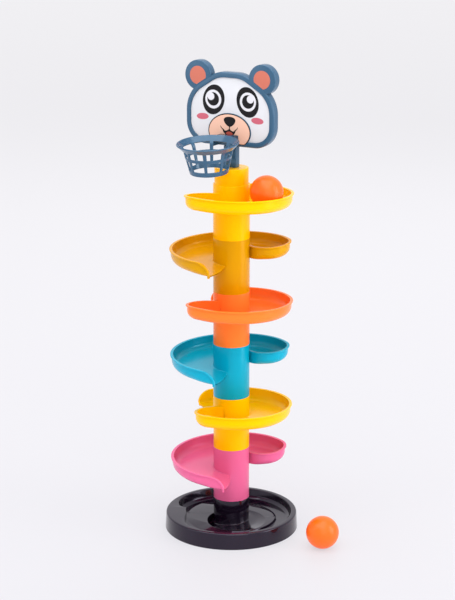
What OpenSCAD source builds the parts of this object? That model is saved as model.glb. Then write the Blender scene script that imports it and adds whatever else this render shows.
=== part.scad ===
// Ball drop tower: six spiral trays on a round column, a dish below, a bear head with a hoop on top.
// Millimetres. The origin is the centre of the foot, Z is up and the front is -Y.

/* [Column] */
// Outer diameter of the column
column_d = 50; // [46:1:54]
// Wall of the column's tube, outside the socket's bore
tube_wall = 1.8; // [1.4:0.1:2.4]
// Height of one tier, from seam to seam
tier_h = 74.7; // [73:0.1:82]
// Height of the spigot that carries the next tier
spigot_h = 22.4; // [14:0.1:26]
// Gap between a spigot and its socket, on the radius
spigot_gap = 0.06; // [0.02:0.01:0.1]
// Thickness of the ring at a shoulder, and of a spigot's cap
cap_t = 2; // [1.6:0.1:3]

/* [Trays] */
// Outer radius of the tray's wall, at the exit
tray_r = 82.8; // [78:0.1:88]
// How much smaller that radius is at the start
tray_draw = 1.8; // [0:0.1:4]
// Thickness of the tray's wall
tray_wall = 2; // [1.6:0.1:2.6]
// Thickness of the tray's floor
tray_floor = 2; // [1.6:0.1:2.6]
// Floor above the tier's seam, at the exit
floor_exit = 40; // [36:0.5:44]
// Floor above the tier's seam, at the start
floor_start = 51.5; // [49:0.5:54]
// Rim above the tier's seam, at the exit
rim_exit = 57; // [54:0.5:60]
// Rim above the tier's seam, at the start
rim_start = 68.5; // [66:0.5:71]
// Slope of the start down to the column, in degrees
start_lean = 4; // [0:0.5:5]
// Slope of the curled start down along its far side, in degrees
start_dip = 2.5; // [0:0.5:4]
// Radius of the gutter between floor and wall
gutter_r = 9; // [5:0.5:11]
// How far the lip stands out of the wall
lip_w = 2; // [1:0.1:3]
// Thickness of the lip
lip_t = 1.8; // [1.2:0.1:2.4]
// Angle that the tray runs round the column before its curled start
tray_run = 237; // [210:1:250]
// Angle over which the rim drops to the edge of the spout
spout_arc = 14; // [10:0.5:18]
// How far the end of the lip hangs below the spout's floor
spout_drop = 4; // [2.5:0.5:6]
// How far the middle of the spout's edge reaches past its ends
spout_tongue = 4; // [0:0.5:6]
// How far the curled start runs into the column
curl_bite = 1.6; // [1:0.1:2.4]

/* [Turns] */
// Direction of the pink tray's exit, counter-clockwise from +X
pink_turn = 263; // [0:0.5:359]
// Direction of the lower yellow tray's exit
lower_yellow_turn = 124.5; // [0:0.5:359]
// Direction of the blue tray's exit
blue_turn = 254; // [0:0.5:359]
// Direction of the orange tray's exit
orange_turn = 110.5; // [0:0.5:359]
// Direction of the amber tray's exit
amber_turn = 249; // [0:0.5:359]
// Direction of the upper yellow tray's exit
upper_yellow_turn = 108.5; // [0:0.5:359]

/* [Dish] */
// Radius of the dish at its foot
foot_r = 93.2; // [91:0.1:98]
// Radius of the dish just under its rounded rim
rim_r = 91.7; // [90:0.1:92.5]
// Height of the dish's rim
dish_h = 22.7; // [20:0.1:26]
// Height of the first seam, on top of the dish's stub
stub_h = 43.8; // [40:0.1:50]
// Rounding of the rim's outer edge
rim_round = 2.5; // [1:0.1:3]
// Wall of the dish's skirt
skirt_wall = 2.3; // [1.8:0.1:3]
// Thickness of the dish's floor
dish_floor = 2.2; // [1.6:0.1:2.4]
// Inner radius of the rim, where the channel's wall ends
channel_r = 83.5; // [80:0.5:84.5]
// Radius of the raised disc round the stub
disc_r = 62; // [58:0.5:66]
// Height of the raised disc
disc_h = 14; // [13.4:0.1:16]
// Channel floor at its start, in front
channel_start = 13.2; // [11:0.1:13.2]
// Channel floor at its end, where the balls gather
channel_end = 6; // [5.5:0.1:9]
// Radius of the well round the stub
well_r = 38.5; // [36:0.5:41]
// Depth of the well at its deep end
well_deep = 6; // [2:0.5:7]
// Thickness of the ribs under the dish
rib_t = 2; // [1.5:0.1:3]

/* [Head] */
// Direction that the face turns from the front to the left
head_turn = 30; // [0:1:45]
// Half of the width of the head
head_half_w = 67.4; // [62:0.1:70]
// Height of the head
head_h = 98.5; // [94:0.5:104]
// Thickness of the head
head_t = 12; // [10:0.5:14]
// Wall of the head's open-backed shell
head_wall = 2.2; // [1.8:0.1:2.8]
// Width of the raised rim round the face
face_rim = 7.2; // [6:0.1:9]
// Depth of the face's recess
face_deep = 1.6; // [1:0.1:2]
// Radius of an ear
ear_r = 20.3; // [17:0.1:22]
// Distance of an ear's centre from the middle
ear_out = 48.9; // [44:0.1:50]
// Radius of an ear's coloured patch
ear_patch_r = 12.3; // [9:0.1:13]
// Half width of the muzzle
muzzle_w = 32; // [26:0.5:34]
// Half height of the muzzle
muzzle_h = 24; // [18:0.5:25]
// Thickness of a printed label
label_t = 0.3; // [0.2:0.05:0.5]
// Height that the print stands on its label
print_t = 0.15; // [0.1:0.05:0.3]

/* [Post] */
// Width of the post
post_w = 19; // [16:0.5:22]
// Thickness of the post
post_t = 10; // [9:0.5:11]
// Height of the post between the column and the head
post_h = 29.1; // [26:0.1:36]
// How far the post's peg reaches into the column
peg_h = 18; // [12:1:20]
// How far the post's tongue reaches into the head
tongue_h = 22; // [16:1:24]
// Step from the post's faces to its peg and tongue
post_step = 1; // [0.6:0.1:1.5]
// Gap round a piece that plugs into another
plug_gap = 0.1; // [0.05:0.01:0.2]

/* [Hoop] */
// Outer radius of the hoop's flared lip
hoop_r = 42.4; // [38:0.2:44]
// Outer radius of the hoop just under the flare
throat_r = 33; // [31:0.2:35]
// Outer radius of the hoop's bottom ring
hoop_foot_r = 25.6; // [25:0.1:28]
// Height of the hoop
hoop_h = 40; // [36:0.5:44]
// Wall of the hoop
hoop_wall = 2; // [1.6:0.1:2.2]
// Height of the solid band under the lip
band_h = 7; // [5:0.5:8]
// Height of the middle ring
ring_h = 4; // [3:0.1:5]
// Height of the bottom ring
foot_ring_h = 6; // [4:0.1:7]
// Number of ribs
hoop_ribs = 8; // [6:2:12]
// Width of a rib
rib_w = 4.7; // [3.5:0.1:6]
// Tilt of the hoop towards the front
hoop_tilt = 5; // [0:0.5:8]
// Distance of the lip's centre from the column's axis
hoop_out = 62.3; // [61:0.1:68]
// Height of the lip's centre above the head's lower edge
hoop_up = 13; // [10:0.5:16]
// Width of the arm that carries the hoop
arm_w = 28; // [24:0.5:32]
// Height of that arm
arm_h = 13; // [11:0.5:14]

/* [Balls] */
// Diameter of a ball
ball_d = 45; // [40:0.5:46]
// Wall of a hollow ball
ball_wall = 1.5; // [1:0.1:2.5]
// Direction in which the ball lies in the top tray
tray_ball_turn = -35.5; // [-60:0.5:20]
// Place of the loose ball to the right of the column's axis
loose_ball_x = 124.7; // [118:0.1:160]
// Place of the loose ball in front of the column's axis
loose_ball_y = 83.5; // [60:0.1:120]

/* [Hidden] */
$fn = 96;

column_r = column_d / 2;
bore_r = column_r - tube_wall;
spigot_r = bore_r - spigot_gap;
spigot_wall = 1.8;
cup_r = spigot_r - spigot_wall;
seam = [for (i = [0:6]) stub_h + i * tier_h];
column_top = seam[6] + spigot_h;
bury = 1;
cut = 1;

tip_h = 0.6;
tip_w = 2.4;
tip_rise = 7;
tip_out = 0.2;
tongue_arc = 20;
exit_gutter = 3;
gutter_grow = 25;
gutter_room = 0.1;
arc_steps = 3;
floor_steps = 3;
spout_stations = [0, 0.7, 1.5, 2.6, 4, 6, 8.5, 11.5, 15, 20];
run_steps = 24;
run_from = spout_stations[len(spout_stations) - 1];
run_bury = 0.6;
run_last = tray_run - run_bury;
stations = concat(spout_stations,
    [for (i = [1:run_steps]) run_from + (run_last - run_from) * i / run_steps], [tray_run + run_bury]);
curl_over = 0.15;
curl_step = 11.25;

rim_top_in = channel_r + 2.7;
flat_h = dish_h - 0.2;
disc_edge = 1.5;
wall_slope = 1.5;
wall_foot = 5;
dish_step = 6;
curl_end = 173;
curl_start = 186;
curl_arc = 44;
well_arc = 150;
well_turns = [170, 350];
bank_turns = [-4, 172];
bank_arc = 55;
bank_reach = 17;
bank_inset = 1.5;
bank_level = 0.9;
bank_ends = [90, 140];
bank_back = [150, 176];
well_gap = 4.5;
well_round = 24;
well_fall = 12;
well_lip = 0.2;
rim_lap = 0.8;
seam_lap = 0.2;
rib_count = 6;
foot_rib_h = 5;

head_foot = column_top + post_h;
jaw_r = 29.5;
cheek_r = 44;
crown_r = 42;
crown_out = 8;
cheek_up = 44.5;
ear_up = 91.7;
outline_step = 7.5;
muzzle_edge = 0.6;
rim_round_r = 3;
rim_step_r = 1;
ear_back = 0.4;
ear_round = 1.5;
brace_out = 34;
brace_up = [36, 66];
brace_t = 1.6;
brace_h = 5;
label_gap = 0.15;
muzzle_up = 19.5;
face_z = head_t / 2 - face_deep;
eye_out = 25.7;
eye_up = 60.8;
eye_patch_long = 20.5;
eye_patch_wide = 16.5;
eye_patch_lean = 17;
iris_r = 12.9;
pupil_r = 9;
glint_r = 4.6;
glint_off = 3.4;
cheek_spot_out = 42;
cheek_spot_up = 36.9;
cheek_spot_w = 9.3;
cheek_spot_h = 4.3;
nose_up = 33.6;
mouth_up = 26.3;
tongue_w = post_w - 2 * post_step;
tongue_t = 6;
tongue_back = 1.4;
socket_wall = 1.8;

arm_wall = 2.4;
catch_w = 16;
catch_h = 5;
catch_up = 8;
catch_deep = 3.4;
arm_up = 2.5;
hoop_lip_t = 1.6;
hoop_lip_up = 0.6;
hoop_lip_edge = 0.4;
flare = [[3.2, 3.4], [1.6, 7.6], [0, 10]];
ring_shift = 1.5;
arm_lap = 6;
hollow_up = 10;
ball_r = ball_d / 2;
ball_gap = 0.5;

// Height and shape of a tray at angle a back from its exit
function along(a) = a / tray_run;
function wall_r(a) = tray_r - tray_draw * pow(along(a), 2);
function floor_z(a) = floor_exit + (floor_start - floor_exit) * along(a);
function lean(a, r) = tan(start_lean) * pow(along(a), 2) * (r - wall_r(a));
function full_rim_z(a) = rim_exit + (rim_start - rim_exit) * along(a);
function spout_rise(a) = a >= spout_arc ? 1 : sqrt(1 - pow(1 - a / spout_arc, 2));
function rim_z(a) = let (low = floor_z(a) + tip_h) low + (full_rim_z(a) - low) * spout_rise(a);
function gutter(a) = min(exit_gutter + (gutter_r - exit_gutter) * min(1, a / gutter_grow),
    rim_z(a) - floor_z(a) - gutter_room);

// Section from the column over floor, gutter and wall to the lip, level, as [radius, height] points
function chain(r, g, root, z, lip_end, lip_z) = concat(
    [for (i = [0:floor_steps - 1]) [root + (r - g - root) * i / floor_steps, z]],
    [for (i = [0:arc_steps]) let (t = 90 * i / arc_steps) [r - g + g * sin(t), z + g - g * cos(t)]],
    [[r, lip_z], [lip_end, lip_z]]);

// Top and underside of that section at angle a, with as many points
function top_chain(a, root) = let (r = wall_r(a))
    chain(r - tray_wall, gutter(a), root, floor_z(a), r + lip_w, rim_z(a));
function under_chain(a, root) = let (under = rim_z(a) - lip_t, z = floor_z(a) - tray_floor)
    chain(wall_r(a), min(gutter(a) + tray_wall, under - z - gutter_room), root, z,
        wall_r(a) + lip_w, under);

// Forward push of the spout's edge, in degrees
function push(a, r, root) = let (u = (r - root) / (tray_r - root))
    u <= 0 || u >= 1 ? 0 : spout_tongue / r * 180 / PI * sin(180 * u) * pow(max(0, 1 - a / tongue_arc), 2);
function placed(a, p, root) = let (t = push(a, p[0], root) - a)
    [p[0] * cos(t), p[0] * sin(t), p[1] + lean(min(a, tray_run), p[0])];

// Closed solid between rings of equal length; each ring goes once round the section
module skin(rings) {
    n = len(rings[0]);
    m = len(rings);
    sides = [for (j = [0:m - 2]) for (i = [0:n - 1]) each side_faces(n, i, (i + 1) % n, j)];
    last = [for (f = cap_faces(n)) [for (v = [2, 1, 0]) f[v] + (m - 1) * n]];
    polyhedron(points = [for (ring = rings) each ring], faces = concat(cap_faces(n), sides, last),
        convexity = 8);
}

// Triangles that close an end of such a solid, between the two halves of its ring
function cap_faces(n) = [for (i = [0:n / 2 - 2]) each [[i, n - 2 - i, i + 1], [i, n - 1 - i, n - 2 - i]]];
function side_faces(n, i, k, j) = let (a = j * n, b = a + n) [[a + i, b + k, b + i], [a + i, a + k, b + k]];

module tray() {
    root = column_r - tube_wall / 2;
    skin([for (a = stations) let (s = min(a, tray_run))
        concat([for (p = top_chain(s, root)) placed(a, p, root)],
            [for (p = reversed(under_chain(s, root))) placed(a, p, root)])]);
    curled_start(root, wall_r(tray_run), (wall_r(tray_run) + column_r - curl_bite) / 2);
    spout_end();
}

// The start curls round half a turn into the column; its walls are thicker, so the run ends inside them
module curled_start(root, outer, pivot) {
    top = [for (p = top_chain(tray_run, root)) if (p[0] > pivot)
        [p[0] + (p[0] > outer ? curl_over : -curl_over) - pivot, p[1] + curl_over]];
    under = [for (p = under_chain(tray_run, root)) if (p[0] > pivot)
        [p[0] + curl_over - pivot, p[1] - curl_over]];
    ring = concat(top, reversed(under));
    hub_z = [floor_start + curl_over, floor_start - tray_floor - curl_over];
    turns = [for (w = [0:curl_step:180]) w];
    points = concat([for (w = turns) for (p = ring) curl_point(p[0], w, p[1], outer, pivot)],
        [for (z = hub_z) curl_point(0, 0, z, outer, pivot)]);
    n = len(ring);
    m = len(turns);
    hub = n * m;
    sides = [for (j = [0:m - 2]) for (i = [0:n - 2]) each side_faces(n, i, i + 1, j)];
    fans = [for (j = [0:m - 2]) let (a = j * n, b = (j + 1) * n)
        each [[hub, a, b], [a + n - 1, hub + 1, b + n - 1]]];
    first = concat(cap_faces(n), [[hub, n - 1, 0], [hub, hub + 1, n - 1]]);
    last = [for (f = first) [for (v = [2, 1, 0]) f[v] < hub ? f[v] + (m - 1) * n : f[v]]];
    rotate(-tray_run) polyhedron(points = points, faces = concat(first, sides, fans, last), convexity = 6);
}

// A point of the curl at distance q from its pivot, turned by w; the whole curl leans and dips as one plane
function curl_point(q, w, z, outer, pivot) = let (x = pivot + q * cos(w), y = q * sin(w))
    [x, -y, z + tan(start_lean) * (x - outer) - tan(start_dip) * y];

// The lip's end, which hangs down at the spout's outer corner
module spout_end() {
    translate([tray_r - tray_wall, tip_out - tip_w, floor_exit - spout_drop])
        cube([tray_wall + lip_w, tip_w, spout_drop + tip_rise]);
}

function reversed(list) = [for (i = [len(list) - 1:-1:0]) list[i]];

// One tier: a tube with a socket below, a capped spigot above and a tray round it
module tier(index, turn) {
    translate([0, 0, seam[index]]) rotate(turn) difference() {
        union() {
            cylinder(r = column_r, h = tier_h);
            cylinder(r = spigot_r, h = tier_h + spigot_h);
            tray();
        }
        translate([0, 0, -cut]) cylinder(r = bore_r, h = tier_h - cap_t + cut);
        cylinder(r = cup_r, h = tier_h + spigot_h - cap_t);
        rotate(-upper_yellow_turn - head_turn) translate([0, 0, tier_h + spigot_h])
            cube([tongue_w + 2 * plug_gap, post_t - 2 * post_step + 2 * plug_gap, 3 * cap_t], center = true);
    }
}

// Smooth step from 0 at a to 1 at b
function ease(x, a, b) = let (t = min(1, max(0, (x - a) / (b - a)))) t * t * (3 - 2 * t);
function quarter(x, a, b) = let (t = min(1, max(0, (x - a) / (b - a)))) sqrt(1 - (1 - t) * (1 - t));
function since(az, from) = (az - from + 720) % 360;

// Dish: the channel runs from its curled start round to its rounded end
function edge_r(az) = disc_r + disc_edge + (channel_r - disc_r - disc_edge)
    * (az < curl_end ? quarter(curl_end - az, 0, curl_arc * 0.8)
        : az < curl_start ? 0 : quarter(az - curl_start, 0, curl_arc));
function channel_t(az) = min(1, since(az, curl_start) / (360 + curl_end - curl_start));
function channel_z(az) = channel_start - (channel_start - channel_end) * pow(channel_t(az), 2);
function bank_at(az, from) = bank_level * (1 - ease(since(az, from), bank_ends[0], bank_ends[1]));
function bank_share(az) = max(bank_at(az, bank_turns[0]), bank_at(az, bank_turns[1]));
function bank_r(az) = let (s = min(since(az, bank_turns[0]), since(az, bank_turns[1])))
    disc_r - bank_inset - bank_reach * ease(s, 0, bank_arc) * (1 - ease(s, bank_back[0], bank_back[1]));
function disc_edge_z(az) = disc_h - (disc_h - channel_z(az)) * bank_share(az);
function well_at(az, from) = let (s = since(az, from)) s > well_arc ? 0 : (1 - s / well_arc);
function well_share(az) = max(well_at(az, well_turns[0]), well_at(az, well_turns[1]));
function well_edge(az) = let (s = min(since(az, well_turns[0]), since(az, well_turns[1])))
    column_r + well_gap + (well_r - column_r - well_gap) * quarter(s, 0, well_round);
function well_z(az) = let (s = min(since(az, well_turns[0]), since(az, well_turns[1])))
    disc_h - well_lip - well_deep * well_share(az) * quarter(s, 0, well_fall);
function in_flat(az) = az >= curl_end && az <= curl_start;
function gutter_z(az) = in_flat(az) ? disc_h : channel_z(az);

function dish_top(az) = let (w = well_edge(az), e = edge_r(az), c = gutter_z(az), inner = disc_r + disc_edge)
    [[column_r - bury, well_z(az)], [column_r + 1.5, well_z(az)], [w - 2, well_z(az)], [w, disc_h],
    [bank_r(az), disc_h], [disc_r, disc_edge_z(az)], [inner, c],
    [inner + (e - inner) * (1 - wall_foot / (channel_r - inner)) + 0.2, c],
    [e - wall_slope * (e - inner) / (channel_r - inner) + 0.3, c + (flat_h - c) * 0.25],
    [e + 0.5, flat_h - 0.8], [e + 1.3, flat_h], [rim_top_in + rim_lap, flat_h]];

function dish_under(az) = let (e = edge_r(az), c = gutter_z(az) - dish_floor,
        d = disc_edge_z(az) - dish_floor, f = flat_h - dish_floor, w = well_z(az) - dish_floor)
    [[column_r - bury, w], [well_r + 1, w],
    [well_r + 3, min(disc_h, d + dish_floor + 1) - dish_floor - seam_lap], [disc_r - 2, d - seam_lap],
    [disc_r, min(c, d)], [min(e + 1, rim_top_in), min(c, d)],
    [min(e + 4, rim_top_in + 0.3), f], [rim_top_in + rim_lap, f]];

module dish_shell() {
    turns = [for (az = [0:dish_step:360 - dish_step]) az];
    rings = [for (az = turns) [for (p = concat(dish_top(az), reversed(dish_under(az))))
        [p[0] * cos(az), p[0] * sin(az), p[1]]]];
    n = len(rings[0]);
    m = len(rings);
    faces = [for (j = [0:m - 1]) for (i = [0:n - 1]) let (k = (i + 1) % n, q = (j + 1) % m)
        each [[j * n + i, q * n + k, j * n + k], [j * n + i, q * n + i, q * n + k]]];
    polyhedron(points = [for (ring = rings) each ring], faces = faces, convexity = 8);
}

module base_dish() {
    color("#1e1420") difference() {
        union() {
            dish_shell();
            rotate_extrude() polygon(concat([[foot_r, 0]],
                [for (t = [0:15:90])
                    [rim_r - rim_round * (1 - cos(t)), dish_h - rim_round * (1 - sin(t))]],
                [[rim_top_in, dish_h], [rim_top_in, flat_h - dish_floor - 0.5],
                [rim_r - skirt_wall, flat_h - dish_floor - 1.5], [foot_r - skirt_wall, 0]]));
            cylinder(r = column_r, h = stub_h);
            cylinder(r = spigot_r, h = stub_h + spigot_h);
            for (i = [0:rib_count - 1]) rotate(i * 360 / rib_count)
                translate([column_r - bury, -rib_t / 2, 1])
                    cube([rim_r - 1 - column_r + bury, rib_t, foot_rib_h - 1]);
        }
        translate([0, 0, cap_t]) cylinder(r = cup_r, h = stub_h + spigot_h);
    }
}

module pink_tier() {
    color("#f0609a") tier(0, pink_turn);
}

module lower_yellow_tier() {
    color("#fbc200") tier(1, lower_yellow_turn);
}

module blue_tier() {
    color("#05a6c8") tier(2, blue_turn);
}

module orange_tier() {
    color("#f97a2c") tier(3, orange_turn);
}

module amber_tier() {
    color("#f0a000") tier(4, amber_turn);
}

module upper_yellow_tier() {
    color("#fbc200") tier(5, upper_yellow_turn);
}

// Stands a flat drawing of the head up: X goes to the right, Y up from the head's lower edge, Z to the front
module on_head(out = 0) {
    rotate([90, 0, -head_turn]) translate([0, head_foot, out]) children();
}

// Outline of the head without its ears: arcs about these centres on the right, joined by tangent lines
outline_arcs = [[head_half_w - jaw_r, jaw_r, jaw_r], [head_half_w - cheek_r, cheek_up, cheek_r],
    [crown_out, head_h - crown_r, crown_r]];
function tangent(p, q) = let (dx = q[0] - p[0], dy = q[1] - p[1])
    atan2(dy, dx) - acos((p[2] - q[2]) / norm([dx, dy]));
outline_turns = [-90, tangent(outline_arcs[0], outline_arcs[1]),
    tangent(outline_arcs[1], outline_arcs[2]), 90];

// Points of the outline, drawn in by inset
function outline_side(inset) = [for (i = [0:2])
    let (c = outline_arcs[i], a = outline_turns[i], b = outline_turns[i + 1],
        n = ceil((b - a) / outline_step), r = c[2] - inset)
    for (t = [0:n]) let (w = a + (b - a) * t / n) [c[0] + r * cos(w), c[1] + r * sin(w)]];
function outline(inset) = let (side = outline_side(inset))
    concat(side, [for (p = reversed(side)) [-p[0], p[1]]]);
module head_outline(inset = 0) {
    polygon(outline(inset));
}

// Front of the head from its back edge over the rounded rim to the face, as [inset, height] points
rim_profile = concat([[0, -head_t / 2]],
    [for (t = [0:22.5:90]) [rim_round_r * (1 - cos(t)), head_t / 2 - rim_round_r * (1 - sin(t))]],
    [for (t = [90, 45, 0]) [face_rim - rim_step_r * (1 - cos(t)), head_t / 2 - rim_step_r * (1 - sin(t))]],
    [[face_rim, face_z]]);

module head_blank() {
    rings = [for (p = rim_profile) [for (q = outline(p[0])) [q[0], q[1], p[1]]]];
    n = len(rings[0]);
    m = len(rings);
    sides = [for (j = [0:m - 2]) for (i = [0:n - 1]) let (k = (i + 1) % n)
        each [[j * n + i, (j + 1) * n + i, (j + 1) * n + k], [j * n + i, (j + 1) * n + k, j * n + k]]];
    back = [for (i = [0:n - 1]) i];
    front = [for (i = [n - 1:-1:0]) (m - 1) * n + i];
    polyhedron(points = [for (ring = rings) each ring], faces = concat(sides, [back, front]), convexity = 6);
}

// Outline of the muzzle: an oval cut off by the head's lower edge
module muzzle_outline(inset = 0) {
    intersection() {
        translate([0, muzzle_up]) scale([muzzle_w - inset, muzzle_h - inset]) circle(r = 1);
        translate([-2 * muzzle_w, rim_round_r + muzzle_edge]) square([4 * muzzle_w, 2 * muzzle_h]);
    }
}

module ear_solid() {
    front = head_t / 2 - ear_back;
    rotate_extrude() polygon(concat([[0, front], [0, -head_t / 2], [ear_r, -head_t / 2]],
        [for (t = [0:15:90]) [ear_r - ear_round * (1 - cos(t)), front - ear_round * (1 - sin(t))]]));
}

// Ribs behind the face
module braces() {
    for (x = [-brace_out, brace_out]) translate([x - brace_t / 2, 0, face_z - head_wall / 2 - brace_h])
        cube([brace_t, head_h, brace_h]);
    for (y = brace_up) translate([-head_half_w, y - brace_t / 2, face_z - head_wall / 2 - brace_h])
        cube([2 * head_half_w, brace_t, brace_h]);
}

module head_shell() {
    color("#48698a") on_head() difference() {
        union() {
            difference() {
                head_blank();
                translate([0, 0, -head_t]) linear_extrude(head_t + face_z - head_wall)
                    head_outline(head_wall);
            }
            translate([0, 0, face_z - head_wall / 2]) linear_extrude(head_t / 2 - face_z + head_wall / 2)
                muzzle_outline(-muzzle_edge);
            difference() {
                for (side = [-1, 1]) translate([side * ear_out, ear_up, 0]) ear_solid();
                translate([0, 0, -head_t]) linear_extrude(2 * head_t) head_outline(head_wall / 2);
            }
            translate([-tongue_w / 2 - socket_wall, head_wall / 2, -head_t / 2])
                cube([tongue_w + 2 * socket_wall, tongue_h + socket_wall - head_wall / 2,
                    head_t / 2 + face_z - head_wall / 2]);
            intersection() {
                braces();
                translate([0, 0, -head_t]) linear_extrude(2 * head_t) head_outline(head_wall / 2);
            }
        }
        for (side = [-1, 1]) translate([side * ear_out, ear_up, -head_t / 2 - cut]) difference() {
            cylinder(r = ear_r - head_wall, h = head_t - ear_back - head_wall + cut);
            translate([-side * ear_out, -ear_up, -cut]) linear_extrude(2 * head_t)
                head_outline(-head_wall / 2);
        }
        ear_patch(-1, cut, label_gap);
        ear_patch(1, cut, label_gap);
        translate([-tongue_w / 2 - plug_gap, -cut, -tongue_back - tongue_t / 2 - plug_gap])
            cube([tongue_w + 2 * plug_gap, tongue_h + plug_gap + cut, tongue_t + 2 * plug_gap]);
        translate([0, catch_up, head_t - catch_deep - plug_gap])
            cube([catch_w + 2 * plug_gap, catch_h + 2 * plug_gap, head_t], center = true);
    }
}

module head_post() {
    color("#48698a") {
        on_head() {
            translate([-post_w / 2, -post_h, -post_t / 2]) cube([post_w, post_h, post_t]);
            translate([-tongue_w / 2, -bury, -tongue_back - tongue_t / 2])
                cube([tongue_w, tongue_h + bury, tongue_t]);
            translate([-tongue_w / 2, -post_h - peg_h, -post_t / 2 + post_step])
                cube([tongue_w, peg_h + bury, post_t - 2 * post_step]);
        }
    }
}

// The patch in an ear, cut by the rim of the head; grow makes the recess a little wider than the label
module ear_patch(side, h, grow = 0) {
    translate([0, 0, head_t / 2 - ear_back - label_t]) linear_extrude(label_t + h) difference() {
        translate([side * ear_out, ear_up]) circle(r = ear_patch_r + grow);
        head_outline(-0.5 + grow);
    }
}

module left_ear_label() {
    color("#e87f6b") on_head() ear_patch(-1, 0);
}

module right_ear_label() {
    color("#e87f6b") on_head() ear_patch(1, 0);
}

module face_label() {
    color("#dadbe0") on_head(face_z) linear_extrude(label_t) difference() {
        head_outline(face_rim + label_gap);
        muzzle_outline(-muzzle_edge - label_gap);
    }
}

module muzzle_label() {
    color("#edbfa0") on_head(head_t / 2) linear_extrude(label_t) difference() {
        muzzle_outline();
        translate([-arm_w / 2 - label_gap, -cut])
            square([arm_w + 2 * label_gap, arm_up + arm_h + label_gap + cut]);
    }
}

module oval(x, y, w, h, lean = 0) {
    translate([x, y]) rotate(lean) scale([w, h]) circle(r = 1, $fn = 40);
}

// The print on the two labels: eyes and cheek spots on the face, nose and mouth on the muzzle
module face_print() {
    on_head(face_z + label_t) for (side = [-1, 1]) {
        color("#181818") linear_extrude(print_t)
            oval(side * eye_out, eye_up, eye_patch_wide, eye_patch_long, side * eye_patch_lean);
        color("#f2f2f4") translate([side * eye_out, eye_up, 0]) cylinder(r = iris_r, h = 2 * print_t);
        color("#181818") translate([side * eye_out, eye_up, 0]) cylinder(r = pupil_r, h = 3 * print_t);
        color("#f2f2f4") translate([side * (eye_out + glint_off), eye_up + glint_off, 0])
            cylinder(r = glint_r, h = 4 * print_t);
        color("#e06a85") linear_extrude(print_t)
            oval(side * cheek_spot_out, cheek_spot_up, cheek_spot_w, cheek_spot_h);
    }
    on_head(head_t / 2 + label_t) {
        color("#181818") linear_extrude(print_t) oval(0, nose_up, 8.4, 6.2);
        color("#181818") linear_extrude(print_t) difference() {
            oval(0, mouth_up + 2, 12, 9);
            translate([-20, mouth_up + 2]) square([40, 20]);
            oval(0, mouth_up + 3.5, 14, 8);
        }
    }
}

// Profile of the hoop from its lip down, outer side, as [radius, height] points
hoop_profile = [[hoop_r, 0], [hoop_r - flare[0][0], -flare[0][1]], [throat_r + flare[1][0], -flare[1][1]],
    [throat_r, -flare[2][1]], [hoop_foot_r, -hoop_h]];
hoop_inner = [for (p = hoop_profile) [p[0] - hoop_wall, p[1]]];

module hoop_body() {
    rotate_extrude() polygon(concat([[hoop_r - hoop_lip_t, hoop_lip_up],
        [hoop_r - hoop_lip_edge, hoop_lip_up]], hoop_profile, reversed(hoop_inner)));
}

module hoop_openings() {
    gap = 360 / hoop_ribs;
    rib_angle = 2 * asin(rib_w / 2 / (throat_r - hoop_wall));
    middle = -hoop_h / 2 - ring_h / 2 + ring_shift;
    rows = [[middle + ring_h, -band_h], [-hoop_h + foot_ring_h, middle]];
    for (i = [0:hoop_ribs - 1]) for (row = rows)
        if (!(i == 0 && row == rows[0]))
            rotate(90 - gap / 2 + rib_angle / 2 + i * gap) rotate_extrude(angle = gap - rib_angle)
                translate([hoop_foot_r - 2 * hoop_wall, row[0]]) square([hoop_r, row[1] - row[0]]);
}

module hoop() {
    arm_reach = hoop_out - hoop_r + arm_lap;
    color("#48698a") rotate(-head_turn) translate([0, 0, head_foot]) {
        difference() {
            union() {
                translate([0, -hoop_out, hoop_up]) rotate([hoop_tilt, 0, 0]) hoop_body();
                difference() {
                    translate([-arm_w / 2, -head_t / 2 - arm_reach, arm_up]) cube([arm_w, arm_reach, arm_h]);
                    translate([-arm_w / 2 + arm_wall, -head_t / 2 - arm_reach - cut, arm_up - cut])
                        cube([arm_w - 2 * arm_wall, arm_reach - arm_wall + cut, arm_h - arm_wall + cut]);
                }
                translate([-catch_w / 2, -head_t / 2 - bury, catch_up - catch_h / 2])
                    cube([catch_w, catch_deep + bury, catch_h]);
            }
            translate([0, -hoop_out, hoop_up]) rotate([hoop_tilt, 0, 0]) {
                hoop_openings();
                hoop_hollow();
            }
        }
    }
}

// The space inside the hoop
module hoop_hollow() {
    rotate_extrude() polygon(concat([[0, hollow_up], [hoop_r - hoop_lip_t, hollow_up],
        [hoop_r - hoop_lip_t, hoop_lip_up]], hoop_inner,
        [[hoop_foot_r - hoop_wall, -hoop_h - cut], [0, -hoop_h - cut]]));
}

module hollow_ball() {
    difference() {
        sphere(d = ball_d);
        sphere(r = ball_r - ball_wall);
    }
}

module tray_ball() {
    a = upper_yellow_turn - tray_ball_turn;
    out = wall_r(a) - tray_wall - ball_r - ball_gap;
    color("#ff8030") rotate(tray_ball_turn)
        translate([out, 0, seam[5] + floor_z(a) + lean(a, out) + ball_r + ball_gap]) hollow_ball();
}

module loose_ball() {
    color("#ff8030") translate([loose_ball_x, -loose_ball_y, ball_r]) hollow_ball();
}

base_dish();
pink_tier();
lower_yellow_tier();
blue_tier();
orange_tier();
amber_tier();
upper_yellow_tier();
head_post();
head_shell();
face_label();
muzzle_label();
face_print();
left_ear_label();
right_ear_label();
hoop();
tray_ball();
loose_ball();
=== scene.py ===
"""Looks of the ball drop tower: six spiral trays on a column, a dish below, a bear head with a hoop on top.

Sizes are in millimetres here and become metres where a mesh is made. The camera, the lamps and the
numbers of the shaders are in metres. Angles are in degrees, counter-clockwise from +X. The front of the
tower is -Y.
"""

import math

import bmesh
import bpy
from mathutils import Euler, Matrix, Vector
from mathutils.geometry import tessellate_polygon


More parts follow.
